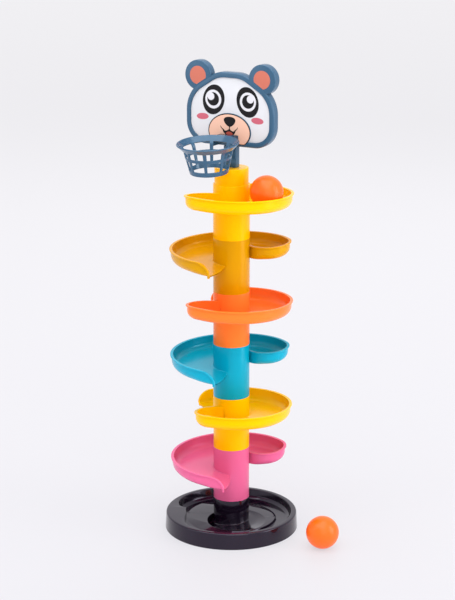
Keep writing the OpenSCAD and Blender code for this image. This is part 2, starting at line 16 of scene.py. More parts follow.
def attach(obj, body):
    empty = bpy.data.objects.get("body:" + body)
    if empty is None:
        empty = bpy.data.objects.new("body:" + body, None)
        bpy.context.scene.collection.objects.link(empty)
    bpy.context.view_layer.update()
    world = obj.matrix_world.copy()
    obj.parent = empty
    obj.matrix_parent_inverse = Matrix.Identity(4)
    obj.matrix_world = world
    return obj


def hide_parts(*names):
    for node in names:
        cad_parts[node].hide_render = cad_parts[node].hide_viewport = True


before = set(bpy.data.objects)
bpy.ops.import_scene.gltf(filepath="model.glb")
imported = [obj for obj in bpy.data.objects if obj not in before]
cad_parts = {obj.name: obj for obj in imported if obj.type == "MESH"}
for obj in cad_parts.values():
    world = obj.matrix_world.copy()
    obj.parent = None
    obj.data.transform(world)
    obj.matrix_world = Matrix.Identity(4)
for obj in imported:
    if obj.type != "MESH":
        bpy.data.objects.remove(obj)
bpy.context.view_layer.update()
MM = 0.001


def cosd(angle):
    return math.cos(math.radians(angle))


def sind(angle):
    return math.sin(math.radians(angle))


def steps(start, end, count):
    """count + 1 evenly spaced values from start to end."""
    return [start + (end - start) * i / count for i in range(count + 1)]


def eased(x, low, high):
    """Smooth step from 0 at low to 1 at high."""
    t = min(1.0, max(0.0, (x - low) / (high - low)))
    return t * t * (3 - 2 * t)


def quarter(x, low, high):
    """Rises from 0 at low to 1 at high along a quarter of a circle."""
    t = min(1.0, max(0.0, (x - low) / (high - low)))
    return math.sqrt(1 - (1 - t) ** 2)


def polar(r, angle, z):
    """Point at radius r from the Z axis in this direction."""
    return r * cosd(angle), r * sind(angle), z


def turn_z(angle):
    return Matrix.Rotation(math.radians(angle), 4, "Z")


def add_object(name, data):
    added = bpy.data.objects.new(name, data)
    bpy.context.scene.collection.objects.link(added)
    return added


# Camera

LENS_MM = 107.04
SENSOR_MM = 36.0
CAMERA_PLACE = (0.0, -2.3583, 0.9669)
CAMERA_DOWN = 15.13
CAMERA_LEFT = 0.132


def place_camera():
    lens = bpy.data.cameras.new("photo_camera")
    lens.lens = LENS_MM
    lens.sensor_width = SENSOR_MM
    camera = add_object("photo_camera", lens)
    camera.location = CAMERA_PLACE
    camera.rotation_euler = Euler((math.radians(90 - CAMERA_DOWN), 0.0, math.radians(CAMERA_LEFT)))
    bpy.context.scene.camera = camera


# Mesh tools

SIDE_SHARE = 0.49
STRAIGHT = 89.5
WELD = 0.001
BEVEL_STEPS = 3

# how far the shells of one piece run into each other
OVERLAP = 1.0


def rounded(chain, closed=False, corner_steps=3):
    """Points of a chain of (x, y, radius) corners with each corner of radius above 0 made an arc.

    An arc takes no more than SIDE_SHARE of a side. A corner that is nearly straight, with half its angle
    above STRAIGHT, gives as many points as an arc, all in one place.
    """
    points = []
    count = len(chain)
    for i, (x, y, radius) in enumerate(chain):
        if radius <= 0 or (not closed and i in (0, count - 1)):
            points.append((x, y))
            continue
        corner = Vector((x, y))
        before = Vector(chain[i - 1][:2]) - corner
        after = Vector(chain[(i + 1) % count][:2]) - corner
        reach = min(before.length, after.length) * SIDE_SHARE
        half = before.angle(after, math.pi) / 2
        if reach < 1e-6 or half > math.radians(STRAIGHT):
            points += [(x, y)] * (corner_steps + 1)
            continue
        back = min(radius / math.tan(half), reach)
        first = corner + before.normalized() * back
        last = corner + after.normalized() * back
        for t in steps(0.0, 1.0, corner_steps):
            # a quadratic curve is close enough to an arc at these sizes
            p = first * (1 - t) ** 2 + corner * 2 * t * (1 - t) + last * t ** 2
            points.append((p.x, p.y))
    return points


def lofted(rings, loop=False, closed=True):
    """Rings of equal length joined one to the next: points and faces, without end caps.

    loop joins the last ring to the first; closed joins each ring's last point to its first.
    """
    n = len(rings[0])
    points = [p for ring in rings for p in ring]
    faces = []
    for j in range(len(rings) if loop else len(rings) - 1):
        k = (j + 1) % len(rings)
        faces += [(j * n + i, k * n + i, k * n + (i + 1) % n, j * n + (i + 1) % n)
                  for i in range(n if closed else n - 1)]
    return points, faces


def turned(profile, count=160, closed=True):
    """Profile of (radius, z) points turned round the Z axis: points and faces."""
    rings = [[polar(r, 360 * i / count, z) for r, z in profile] for i in range(count)]
    return lofted(rings, loop=True, closed=closed)


def box_shell(low, high):
    """Points and faces of a box between two corners."""
    points = [(x, y, z) for z in (low[2], high[2]) for y in (low[1], high[1]) for x in (low[0], high[0])]
    faces = [(0, 1, 3, 2), (4, 6, 7, 5), (0, 4, 5, 1), (2, 3, 7, 6), (0, 2, 6, 4), (1, 5, 7, 3)]
    return points, faces


def flat_faces(outline):
    """Triangles that fill an outline of (x, y) points."""
    return [tuple(f) for f in tessellate_polygon([[Vector((x, y, 0)) for x, y in outline]])]


def add_shell(bm, shell, material_index=0):
    points, faces = shell
    verts = [bm.verts.new(p) for p in points]
    for face in faces:
        bm.faces.new([verts[i] for i in face]).material_index = material_index


def new_object(name, bm, place=None):
    """An object in the scene from a bmesh in millimetres; place is a matrix in millimetres."""
    if place is not None:
        bmesh.ops.transform(bm, matrix=place, verts=bm.verts)
    bmesh.ops.scale(bm, vec=(MM, MM, MM), verts=bm.verts)
    mesh = bpy.data.meshes.new(name)
    bm.to_mesh(mesh)
    bm.free()
    return add_object(name, mesh)


def shade(piece, sharp):
    """Smooth shading that keeps edges sharper than this angle."""
    piece.data.shade_smooth()
    piece.data.set_sharp_from_angle(angle=math.radians(sharp))


def make_piece(name, shells, place=None, sharp=50, weld=WELD):
    """An object of shells in millimetres, with touching points joined and open ends filled."""
    bm = bmesh.new()
    for shell in shells:
        add_shell(bm, shell)
    bmesh.ops.remove_doubles(bm, verts=bm.verts, dist=weld)
    bmesh.ops.dissolve_degenerate(bm, dist=weld / 2, edges=bm.edges)
    bmesh.ops.holes_fill(bm, edges=[e for e in bm.edges if e.is_boundary], sides=0)
    bmesh.ops.recalc_face_normals(bm, faces=bm.faces)
    piece = new_object(name, bm, place)
    shade(piece, sharp)
    return piece


def modify(piece, kind, sharp=40, **settings):
    """Bakes a modifier with these settings into the piece's mesh."""
    modifier = piece.modifiers.new(kind.lower(), kind)
    for key, value in settings.items():
        setattr(modifier, key, value)
    bpy.context.view_layer.update()
    graph = bpy.context.evaluated_depsgraph_get()
    mesh = bpy.data.meshes.new_from_object(piece.evaluated_get(graph))
    piece.modifiers.clear()
    piece.data = mesh
    shade(piece, sharp)


def cut_out(piece, cutter):
    """Takes the cutter's space out of the piece and removes the cutter."""
    modify(piece, "BOOLEAN", operation="DIFFERENCE", solver="EXACT", object=cutter)
    bpy.data.objects.remove(cutter)


def soften(piece, width, from_angle=35, sharp=40):
    """Rounds the piece's edges of from_angle or more by width millimetres."""
    modify(piece, "BEVEL", sharp, width=width * MM, segments=BEVEL_STEPS, limit_method="ANGLE",
           angle_limit=math.radians(from_angle))


def add_to(piece, other):
    """Moves the other piece's mesh into this one."""
    bm = bmesh.new()
    for source in (piece, other):
        bm.from_mesh(source.data)
    bm.to_mesh(piece.data)
    bm.free()
    bpy.data.objects.remove(other)


def finish_piece(piece, body, materials, nodes=()):
    """Dresses a piece, puts it on its body and, where it stands for CAD nodes, hides those."""
    for material in materials:
        piece.data.materials.append(material)
    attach(piece, body)
    if nodes:
        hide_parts(*nodes)


# Materials

COLOUR, NUMBER = "NodeSocketColor", "NodeSocketFloat"
WHITE = (1, 1, 1, 1)
SKIN = [("Colour", COLOUR), ("Roughness", NUMBER), ("Height", NUMBER)]
UNEVEN_GLOSS = 0.16
SWELL_HEIGHT = 2.5
GRAIN_SHARE = 0.35
FILM_ROUGHNESS = 0.36
FILM_UNEVEN = 0.12
RING_LIFT = 6.0
CREST_POWER = 6.0
PLASTIC_IOR = 1.5
COAT_ROUGHNESS = 0.08
PLASTIC_BUMP = 0.0004
LABEL_BUMP = 0.0003
LABEL_BUMP_SHARE = 0.1
LABEL_SHEEN = 0.2

# scale, detail and roughness of the noises
CLOUDS = (14.0, 3.0)
UNEVENNESS = (55.0, 4.0, 0.6)
SWELLING = (32.0, 1.0)
RING_BREAKS = (40.0, 1.0)
INK_GRAIN = (900.0, 3.0)
FILM_WAVES = (26.0, 2.0)


def tone(code):
    """Linear colour of a six-digit sRGB code."""
    values = [int(code[i:i + 2], 16) / 255 for i in (0, 2, 4)]
    return [v / 12.92 if v <= 0.04045 else ((v + 0.055) / 1.055) ** 2.4 for v in values] + [1.0]


def new_group(name, inputs, outputs):
    """An empty shader node group, the sockets that it is given and the sockets that it fills."""
    group = bpy.data.node_groups.new(name, "ShaderNodeTree")
    for label, kind, default in inputs:
        group.interface.new_socket(label, in_out="INPUT", socket_type=kind).default_value = default
    for label, kind in outputs:
        group.interface.new_socket(label, in_out="OUTPUT", socket_type=kind)
    return group, group.nodes.new("NodeGroupInput").outputs, group.nodes.new("NodeGroupOutput").inputs


def set_inputs(node, values):
    for label, value in values.items():
        node.inputs[label].default_value = value


def feed(tree, value, socket):
    """Sets an input socket to a value, or links it to another node's socket."""
    if isinstance(value, bpy.types.NodeSocket):
        tree.links.new(value, socket)
    else:
        socket.default_value = value


def maths(tree, operation, *operands):
    """Result of a Math node; each operand is a socket or a number."""
    node = tree.nodes.new("ShaderNodeMath")
    node.operation = operation
    for value, socket in zip(operands, node.inputs):
        feed(tree, value, socket)
    return node.outputs[0]


def object_place(tree):
    return tree.nodes.new("ShaderNodeTexCoord").outputs["Object"]


def noise_of(tree, place, scale, detail=2.0, roughness=0.5):
    """Noise at a place; the scale is a socket or a number."""
    node = tree.nodes.new("ShaderNodeTexNoise")
    set_inputs(node, {"Detail": detail, "Roughness": roughness})
    feed(tree, scale, node.inputs["Scale"])
    tree.links.new(place, node.inputs["Vector"])
    return node.outputs["Fac"]


def mixed(tree, share, *colours):
    """A mix of two colours by a share socket; each colour is a socket or a list of numbers."""
    node = tree.nodes.new("ShaderNodeMix")
    node.data_type = "RGBA"
    tree.links.new(share, node.inputs["Factor"])
    for value, socket in zip(colours, [s for s in node.inputs if s.type == "RGBA"]):
        feed(tree, value, socket)
    return [s for s in node.outputs if s.type == "RGBA"][0]


def moulded_group():
    """Injection-moulded plastic: slight clouds in the colour, uneven gloss and a fine orange-peel skin."""
    group, given, result = new_group(
        "moulded_plastic",
        [("Colour", COLOUR, WHITE), ("Cloud Colour", COLOUR, WHITE), ("Cloud Amount", NUMBER, 0.4),
         ("Gloss Roughness", NUMBER, 0.2), ("Peel Scale", NUMBER, 260.0)],
        SKIN)
    place = object_place(group)
    clouds = maths(group, "MULTIPLY", noise_of(group, place, *CLOUDS), given["Cloud Amount"])
    group.links.new(mixed(group, clouds, given["Colour"], given["Cloud Colour"]), result["Colour"])
    uneven = maths(group, "MULTIPLY", noise_of(group, place, *UNEVENNESS), UNEVEN_GLOSS)
    centred = maths(group, "SUBTRACT", uneven, UNEVEN_GLOSS / 2)
    group.links.new(maths(group, "ADD", given["Gloss Roughness"], centred), result["Roughness"])
    peel = noise_of(group, place, given["Peel Scale"])
    swell = maths(group, "MULTIPLY", noise_of(group, place, *SWELLING), SWELL_HEIGHT)
    group.links.new(maths(group, "ADD", peel, swell), result["Height"])
    return group


def tooling_group():
    """Faint rings round the column, left in a tray's floor by the turned mould."""
    group, given, result = new_group(
        "tooling_rings",
        [("Inner Radius", NUMBER, 0.043), ("Outer Radius", NUMBER, 0.06), ("Ring Pitch", NUMBER, 0.0045)],
        [("Height", NUMBER)])
    place = object_place(group)
    split = group.nodes.new("ShaderNodeSeparateXYZ")
    group.links.new(place, split.inputs[0])
    squares = [maths(group, "MULTIPLY", split.outputs[axis], split.outputs[axis]) for axis in "XY"]
    radius = maths(group, "SQRT", maths(group, "ADD", *squares))
    inside = maths(group, "MULTIPLY", maths(group, "GREATER_THAN", radius, given["Inner Radius"]),
                   maths(group, "LESS_THAN", radius, given["Outer Radius"]))
    rings = maths(group, "DIVIDE", radius, given["Ring Pitch"])
    waves = maths(group, "SINE", maths(group, "MULTIPLY", rings, 2 * math.pi))
    crests = maths(group, "POWER", maths(group, "MAXIMUM", waves, 0.0), CREST_POWER)
    broken = maths(group, "MULTIPLY", crests, noise_of(group, place, *RING_BREAKS))
    group.links.new(maths(group, "MULTIPLY", broken, inside), result["Height"])
    return group


def paper_group():
    """Printed paper under a satin film: the ink's faint grain and a slight waviness of the film."""
    group, given, result = new_group(
        "printed_label", [("Ink", COLOUR, WHITE), ("Worn Ink", COLOUR, WHITE)], SKIN)
    place = object_place(group)
    grain = maths(group, "MULTIPLY", noise_of(group, place, *INK_GRAIN), GRAIN_SHARE)
    group.links.new(mixed(group, grain, given["Ink"], given["Worn Ink"]), result["Colour"])
    film = noise_of(group, place, *FILM_WAVES)
    uneven = maths(group, "MULTIPLY", film, FILM_UNEVEN)
    group.links.new(maths(group, "ADD", uneven, FILM_ROUGHNESS), result["Roughness"])
    group.links.new(film, result["Height"])
    return group


def new_material(name):
    material = bpy.data.materials.new(name)
    material.use_nodes = True
    tree = material.node_tree
    return material, tree, tree.nodes["Principled BSDF"]


def placed_group(tree, group, values):
    """Outputs of a group that is put in a tree with these values."""
    node = tree.nodes.new("ShaderNodeGroup")
    node.node_tree = group
    set_inputs(node, values)
    return node.outputs


def dress(tree, shader, skin, height, strength, distance):
    """Gives a shader a skin's colour and roughness and a bump of this height."""
    tree.links.new(skin["Colour"], shader.inputs["Base Color"])
    tree.links.new(skin["Roughness"], shader.inputs["Roughness"])
    bump = tree.nodes.new("ShaderNodeBump")
    set_inputs(bump, {"Strength": strength, "Distance": distance})
    tree.links.new(height, bump.inputs["Height"])
    tree.links.new(bump.outputs["Normal"], shader.inputs["Normal"])


def plastic(name, code, cloud_code, sheen_code, gloss=0.2, cloud=0.5, bump=0.05, coat=0.0, sheen=0.4,
            rings=False):
    """Moulded plastic of one colour with a tinted sheen; rings adds the mould's tooling rings."""
    material, tree, shader = new_material(name)
    skin = placed_group(tree, moulded, {"Colour": tone(code), "Cloud Colour": tone(cloud_code),
                                        "Cloud Amount": cloud, "Gloss Roughness": gloss})
    height = skin["Height"]
    if rings:
        height = maths(tree, "MULTIPLY_ADD", placed_group(tree, tooling, {})["Height"], RING_LIFT, height)
    dress(tree, shader, skin, height, bump, PLASTIC_BUMP)
    set_inputs(shader, {"IOR": PLASTIC_IOR, "Specular IOR Level": sheen, "Specular Tint": tone(sheen_code),
                        "Coat Weight": coat, "Coat Roughness": COAT_ROUGHNESS})
    return material


def ink(name, code, worn_code):
    """One printed colour of a label."""
    material, tree, shader = new_material(name)
    skin = placed_group(tree, paper, {"Ink": tone(code), "Worn Ink": tone(worn_code)})
    dress(tree, shader, skin, skin["Height"], LABEL_BUMP_SHARE, LABEL_BUMP)
    shader.inputs["Specular IOR Level"].default_value = LABEL_SHEEN
    return material


moulded = moulded_group()
tooling = tooling_group()
paper = paper_group()

tray_plastics = {colour: plastic(colour + "_plastic", *codes, rings=True) for colour, codes in {
    "pink": ("D65E8A", "DC6692", "FF9CC0"),
    "yellow": ("F8B600", "FABC00", "F2C44A"),
    "teal": ("009AB6", "08A0BC", "9CE4F4"),
    "orange": ("F9762A", "FA7F36", "FFA878"),
    "amber": ("C88E00", "CC9404", "FFCE6A")}.items()}
base_black = plastic("base_black", "120A16", "160E1B", "E8DCFA", gloss=0.1, bump=0.03, coat=0.2)
slate_plastic = plastic("slate_plastic", "2E506A", "365872", "C8DCEC", gloss=0.16, sheen=0.7)
ball_plastic = plastic("ball_plastic", "F25E08", "F66812", "FFE0D0", gloss=0.32, cloud=0.6, bump=0.06,
                       sheen=0.5)
white_ink = ink("white_ink", "CDCED1", "C8C9CD")
black_ink = ink("black_ink", "110F12", "171518")
eye_white_ink = ink("eye_white_ink", "D2D2D6", "CCCCD2")
cheek_ink = ink("cheek_ink", "BC5C6C", "C06676")
peach_ink = ink("peach_ink", "DBB09A", "D7AA94")
coral_ink = ink("coral_ink", "BE6C5A", "BA6652")
tongue_ink = ink("tongue_ink", "A8493C", "A04438")


# Trays and column

COLUMN_R = 25.0
TUBE_WALL = 1.8
TIER_H = 74.7
SPIGOT_H = 22.4
SPIGOT_R = COLUMN_R - TUBE_WALL - 0.06
SPIGOT_WALL = 1.8
CAP_T = 2.0
STUB_H = 43.8
TRAY_R = 82.8
TRAY_DRAW = 1.8
TRAY_WALL = 2.0
TRAY_FLOOR = 2.0
FLOOR_EXIT = 40.0
FLOOR_START = 51.5
RIM_EXIT = 57.0
RIM_START = 68.5
START_LEAN = 4.0
START_DIP = 2.5
GUTTER_R = 9.0
EXIT_GUTTER = 3.0
GUTTER_GROW = 25.0
RIM_LEAST = 0.1
LIP_W = 2.0
LIP_T = 1.8
TIP_T = 2.8
TRAY_RUN = 237.0
SPOUT_ARC = 14.0
SPOUT_DROP = 4.0
SPOUT_TONGUE = 4.0
TONGUE_ARC = 20.0
TIP_H = 0.6
TIP_POWER = 1.5
CURL_BITE = 1.6
CURL_GUTTER = 0.5
CURL_NARROW = (110.0, 178.0)
CURL_SINK = 0.7
CURL_SINKS = (158.0, 180.0)
CURL_STEPS = 72
EVEN_FROM = 25.0
RUN_STEPS = 90
LIP_STEPS = 110
SECTION_STEPS = 6
ARC_STEPS = 8
FILLET_H = 0.9
ROOT = COLUMN_R - TUBE_WALL / 2
START_R = TRAY_R - TRAY_DRAW
PIVOT = (START_R + COLUMN_R - CURL_BITE) / 2
LEAN = math.tan(math.radians(START_LEAN))
DIP = math.tan(math.radians(START_DIP))
HEAD_TURN = 30.0

# half sizes of the slot in the top spigot
PEG_SLOT = (8.6, 4.1, 4.0)

# the tray's fillet at the column: distances from the column and above the floor
COLUMN_FILLET = ((0.12, 0.8), (0.35, 0.25))

# from the bottom: name, direction of the spout, colour
TIERS = [("pink", 263.0, "pink"), ("lower_yellow", 124.5, "yellow"), ("blue", 254.0, "teal"),
         ("orange", 110.5, "orange"), ("amber", 249.0, "amber"), ("upper_yellow", 108.5, "yellow")]

# the floor's edge at the spout: degrees that a ring reaches forward and its share of the thickness
SPOUT_EDGE = ((0.45, 0.45), (0.34, 0.75), (0.15, 0.94))
SPOUT_RINGS = [0, 0.2, 0.5, 0.9, 1.4, 2, 2.8, 3.6, 4.6, 5.8, 7.2, 8.8, 10.6, 12.6, 14.8, 17, 19.5, 22]

# the lip's hanging end: height of a ring above the tip and its share of the full section
HANGING_END = ((0.0, 0.55), (0.25, 0.85), (0.8, 1.0), (2.0, 1.0), (3.5, 1.0))


def wall_r(a):
    return TRAY_R - TRAY_DRAW * (a / TRAY_RUN) ** 2


def floor_z(a):
    return FLOOR_EXIT + (FLOOR_START - FLOOR_EXIT) * a / TRAY_RUN


def leaning(a, r):
    """How much the slope towards the column raises a point of the tray."""
    return LEAN * (a / TRAY_RUN) ** 2 * (r - wall_r(a))


def rim_z(a):
    low = floor_z(a) + TIP_H
    full = RIM_EXIT + (RIM_START - RIM_EXIT) * a / TRAY_RUN
    return low + (full - low) * quarter(a, 0, SPOUT_ARC)


def gutter_radius(a):
    grown = EXIT_GUTTER + (GUTTER_R - EXIT_GUTTER) * min(1.0, a / GUTTER_GROW)
    return min(grown, rim_z(a) - floor_z(a) - RIM_LEAST)


def foot_arc(r, z, size, angles):
    """Arc of radius size between a level at height z and an upright at radius r."""
    return [(r - size + size * sind(t), z + size - size * cosd(t)) for t in angles]


def tray_section(a, gutter):
    """Level section of floor and wall as (radius, z) points: top side outwards, then back below."""
    outside, floor = wall_r(a), floor_z(a)
    inside = outside - TRAY_WALL
    under = floor - TRAY_FLOOR
    # the wall ends inside the lip, which is a strip of its own
    top = rim_z(a) - LIP_T / 2
    beside_column = 2 * PIVOT - (START_R - TRAY_WALL - CURL_GUTTER)
    radii = steps(beside_column, PIVOT, SECTION_STEPS) + steps(PIVOT, inside - gutter, SECTION_STEPS)[1:]
    points = [(ROOT, floor + FILLET_H)] + [(COLUMN_R + out, floor + up) for out, up in COLUMN_FILLET]
    points += [(r, floor) for r in radii] + foot_arc(inside, floor, gutter, steps(0, 90, ARC_STEPS)[1:])
    below = max(0.2, min(gutter + TRAY_WALL, top - under - 0.3))
    points += [(inside, max(top, floor + gutter + 0.02)), (outside, max(top, under + below + 0.02))]
    points += foot_arc(outside, under, below, steps(90, 0, ARC_STEPS))
    return points + [(r, under) for r in reversed(radii[:-1])] + [(ROOT, under)]


def tongue_push(a, r):
    """How many degrees the exit's edge reaches forward at radius r."""
    u = (r - ROOT) / (TRAY_R - ROOT)
    if u <= 0 or u >= 1 or a > TONGUE_ARC:
        return 0.0
    return math.degrees(SPOUT_TONGUE / r) * sind(180 * u) * (1 - a / TONGUE_ARC) ** 2


def curl_point(q, w, z):
    """A point of the curled start at distance q from its pivot, turned by w."""
    x, y = PIVOT + q * cosd(w), q * sind(w)
    slopes = LEAN * (x - START_R) - DIP * y
    return Matrix.Rotation(math.radians(-TRAY_RUN), 3, "Z") @ Vector((x, -y, z + slopes))


def curl_sink(w):
    """How far the curl's wall moves outwards, to end inside the column."""
    return CURL_SINK * eased(w, *CURL_SINKS)


def tray_shells():
    """The spiral tray without its lip: the run, with its spout at angle 0, and the curled start."""
    spout_section = tray_section(0.0, gutter_radius(0.0))
    inside = TRAY_R - TRAY_WALL
    middle = FLOOR_EXIT - TRAY_FLOOR / 2
    rings = []
    for forward, share in SPOUT_EDGE:
        ring = []
        for r, z in spout_section:
            near_wall = eased(r, inside - EXIT_GUTTER, inside - 0.5)
            t = tongue_push(0.0, r) + forward * (1 - near_wall)
            ring.append(polar(r, t, middle + (z - middle) * (share + (1 - share) * near_wall)))
        rings.append(ring)
    for a in SPOUT_RINGS + steps(EVEN_FROM, TRAY_RUN, RUN_STEPS):
        rings.append([polar(r, tongue_push(a, r) - a, z + leaning(a, r))
                      for r, z in tray_section(a, gutter_radius(a))])
    points, faces = lofted(rings)

    curl = []
    for w in steps(0, 180, CURL_STEPS):
        gutter = GUTTER_R + (CURL_GUTTER - GUTTER_R) * eased(w, *CURL_NARROW)
        wall_from = START_R - TRAY_WALL - gutter + 0.01
        curl.append([curl_point(r - PIVOT + (curl_sink(w) if r > wall_from else 0.0), w, z)
                     for r, z in tray_section(TRAY_RUN, gutter) if r > PIVOT - 1e-6])
    return [(points, faces + flat_faces(spout_section)), lofted(curl, closed=False)]


def lip_section(thick):
    """Rounded section of the lip as (outwards from the wall's inner face, down from the rim) points."""
    wide = TRAY_WALL + LIP_W
    return rounded([(-0.1, 0, 0.7), (wide, 0, 0.8), (wide, thick, 0.7), (TRAY_WALL - 0.3, thick, 0),
                    (-0.1, thick, 0.2)], closed=True, corner_steps=4)


def lip_shell():
    """The lip as a strip: from its hanging end up round the spout, along the run and the curl."""
    rings = []
    for up, share in HANGING_END:
        ring = []
        for u, d in lip_section(TIP_T):
            r = TRAY_R - TRAY_WALL + LIP_W + (u - TRAY_WALL - LIP_W / 2) * share - LIP_W / 2
            back = math.degrees((TIP_T / 2 + (d - TIP_T / 2) * share) / TRAY_R)
            ring.append(polar(r, -back, FLOOR_EXIT - SPOUT_DROP + up))
        rings.append(ring)
    spout = [SPOUT_ARC * (1 - cosd(t)) for t in steps(0, 90, 24)]
    for a in spout + steps(SPOUT_ARC, TRAY_RUN, LIP_STEPS)[1:]:
        # the slope is taken over a short stretch, shorter at the steep spout
        near = 0.02 if a < SPOUT_ARC else 0.5
        ahead, behind = min(a + near, TRAY_RUN), max(a - near, 0.0)
        slope = math.atan2(rim_z(ahead) - rim_z(behind), math.radians(ahead - behind) * TRAY_R)
        thick = LIP_T + (TIP_T - LIP_T) * max(0.0, 1 - a / SPOUT_ARC) ** TIP_POWER
        ring = []
        for u, d in lip_section(thick):
            r = wall_r(a) - TRAY_WALL + u
            back = a + math.degrees(d * math.sin(slope) / TRAY_R)
            ring.append(polar(r, -back, rim_z(a) - d * math.cos(slope) + leaning(a, r)))
        rings.append(ring)
    for w in steps(0, 180, CURL_STEPS)[1:]:
        rings.append([curl_point(START_R - TRAY_WALL - PIVOT + u + curl_sink(w), w, RIM_START - d)
                      for u, d in lip_section(LIP_T)])
    return lofted(rings)


def column_shell():
    """The tier's tube with its socket below and its capped spigot above."""
    bore = COLUMN_R - TUBE_WALL
    cup = SPIGOT_R - SPIGOT_WALL
    top = TIER_H + SPIGOT_H
    return turned(rounded([
        (bore, 0, 0.3), (COLUMN_R, 0, 0.35), (COLUMN_R, TIER_H, 0.5), (SPIGOT_R, TIER_H, 0),
        (SPIGOT_R, top, 1.3), (0, top, 0), (0, top - CAP_T, 0), (cup, top - CAP_T, 0.4),
        (cup, TIER_H - CAP_T, 0), (bore, TIER_H - CAP_T, 0)], closed=True))


def make_tiers():
    mouldings = tray_shells() + [lip_shell()]
    for index, (name, turn, colour) in enumerate(TIERS):
        place = Matrix.Translation((0, 0, STUB_H + index * TIER_H)) @ turn_z(turn)
        tier = make_piece(name + "_tier_moulding", mouldings, place)
        column = make_piece("column", [column_shell()], place)
        if index == len(TIERS) - 1:
            slot_place = Matrix.Translation((0, 0, HEAD_FOOT - POST_H)) @ turn_z(-HEAD_TURN)
            slot = box_shell([-half for half in PEG_SLOT], PEG_SLOT)
            cut_out(column, make_piece("peg_slot", [slot], slot_place))
        add_to(tier, column)
        finish_piece(tier, name + "_turn", [tray_plastics[colour]], [name + "_tier"])


# Base dish

FOOT_R = 93.2
RIM_R = 91.7
DISH_H = 22.7
RIM_ROUND = 2.5
SKIRT_WALL = 2.3
DISH_FLOOR = 2.2
RIB_COUNT = 6
RIB_HALF = 1.0
RIB_LOW = 1.0
RIB_TOP = 5.0
CHANNEL_R = 83.5
DISC_R = 62.0
DISC_H = 14.0
DISC_BEVEL = 1.5
DISC_EDGE = DISC_R + DISC_BEVEL
CHANNEL_START = 11.2
CHANNEL_END = 6.0
WELL_R = 41.0
WELL_X = 7.0
WELL_Y = -18.0
WELL_DEEP = 9.0
WELL_FROM = 163.0
WELL_ARC = 250.0
WELL_RISE = 14.0
WELL_LEAST = 0.2
STUB_FILLET = 3.2
STUB_FILLET_ROUND = 2.6
BOWL_SHARE = 0.45
BOWL_ROUND = 40.0
MOUTH_ROUND = 1.6
WALL_FOOT_W = 5.0
WALL_FOOT_H = 1.4
WALL_BEND_W = 1.2
WALL_BEND_SHARE = 0.3
WALL_FLARE = 0.9
CURL_END = 173.0
CURL_START = 186.0
CURL_ARC = 44.0
CURL_END_ARC = 0.8 * CURL_ARC
BANK_TURNS = (-4.0, 172.0)
BANK_SHARE = 0.9
BANK_FADE = (90.0, 140.0)
BANK_ARC = 55.0
BANK_REACH = 17.0
BANK_CLOSE = (150.0, 176.0)

# distances from an end of the channel or the well at which sections stand close together
NEAR_ENDS = (0.05, 0.2, 0.5, 0.9, 1.4, 2.1, 3.0, 4.2)


def since(az, start):
    """Degrees from start to az, counter-clockwise."""
    return (az - start) % 360


def channel_edge_r(az):
    if CURL_END <= az < CURL_START:
        return DISC_EDGE
    if az < CURL_END:
        share = quarter(CURL_END - az, 0, CURL_END_ARC)
    else:
        share = eased(az, CURL_START, CURL_START + CURL_ARC)
    return DISC_EDGE + (CHANNEL_R - DISC_EDGE) * share


def channel_z(az):
    if CURL_END <= az <= CURL_START:
        return DISC_H
    share = min(1.0, since(az, CURL_START) / (360 + CURL_END - CURL_START))
    floor = CHANNEL_START - (CHANNEL_START - CHANNEL_END) * share ** 2
    return DISC_H - (DISC_H - floor) * eased(since(az, CURL_START), 0, CURL_ARC)


def bank_share(az):
    """Share of the channel's depth to which the disc's edge comes down."""
    turns = [since(az, start) for start in BANK_TURNS]
    return max((BANK_SHARE * (1 - eased(s, *BANK_FADE)) for s in turns if s < BANK_FADE[1]), default=0.0)


def bank_r(az):
    """Radius at which the disc begins to come down."""
    s = min(since(az, start) for start in BANK_TURNS)
    return DISC_R - DISC_BEVEL - BANK_REACH * eased(s, 0, BANK_ARC) * (1 - eased(s, *BANK_CLOSE))


def well_z(az):
    s = since(az, WELL_FROM)
    deep = WELL_DEEP * quarter(s, 0, WELL_RISE) * (1 - s / WELL_ARC) if s < WELL_ARC else 0.0
    return DISC_H - WELL_LEAST - deep


def well_edge_r(az):
    """The well is a circle round a point in front of the stub."""
    ahead = WELL_X * cosd(az) + WELL_Y * sind(az)
    across = WELL_X * sind(az) - WELL_Y * cosd(az)
    return max(COLUMN_R + 1.3, ahead + math.sqrt(WELL_R ** 2 - across ** 2))


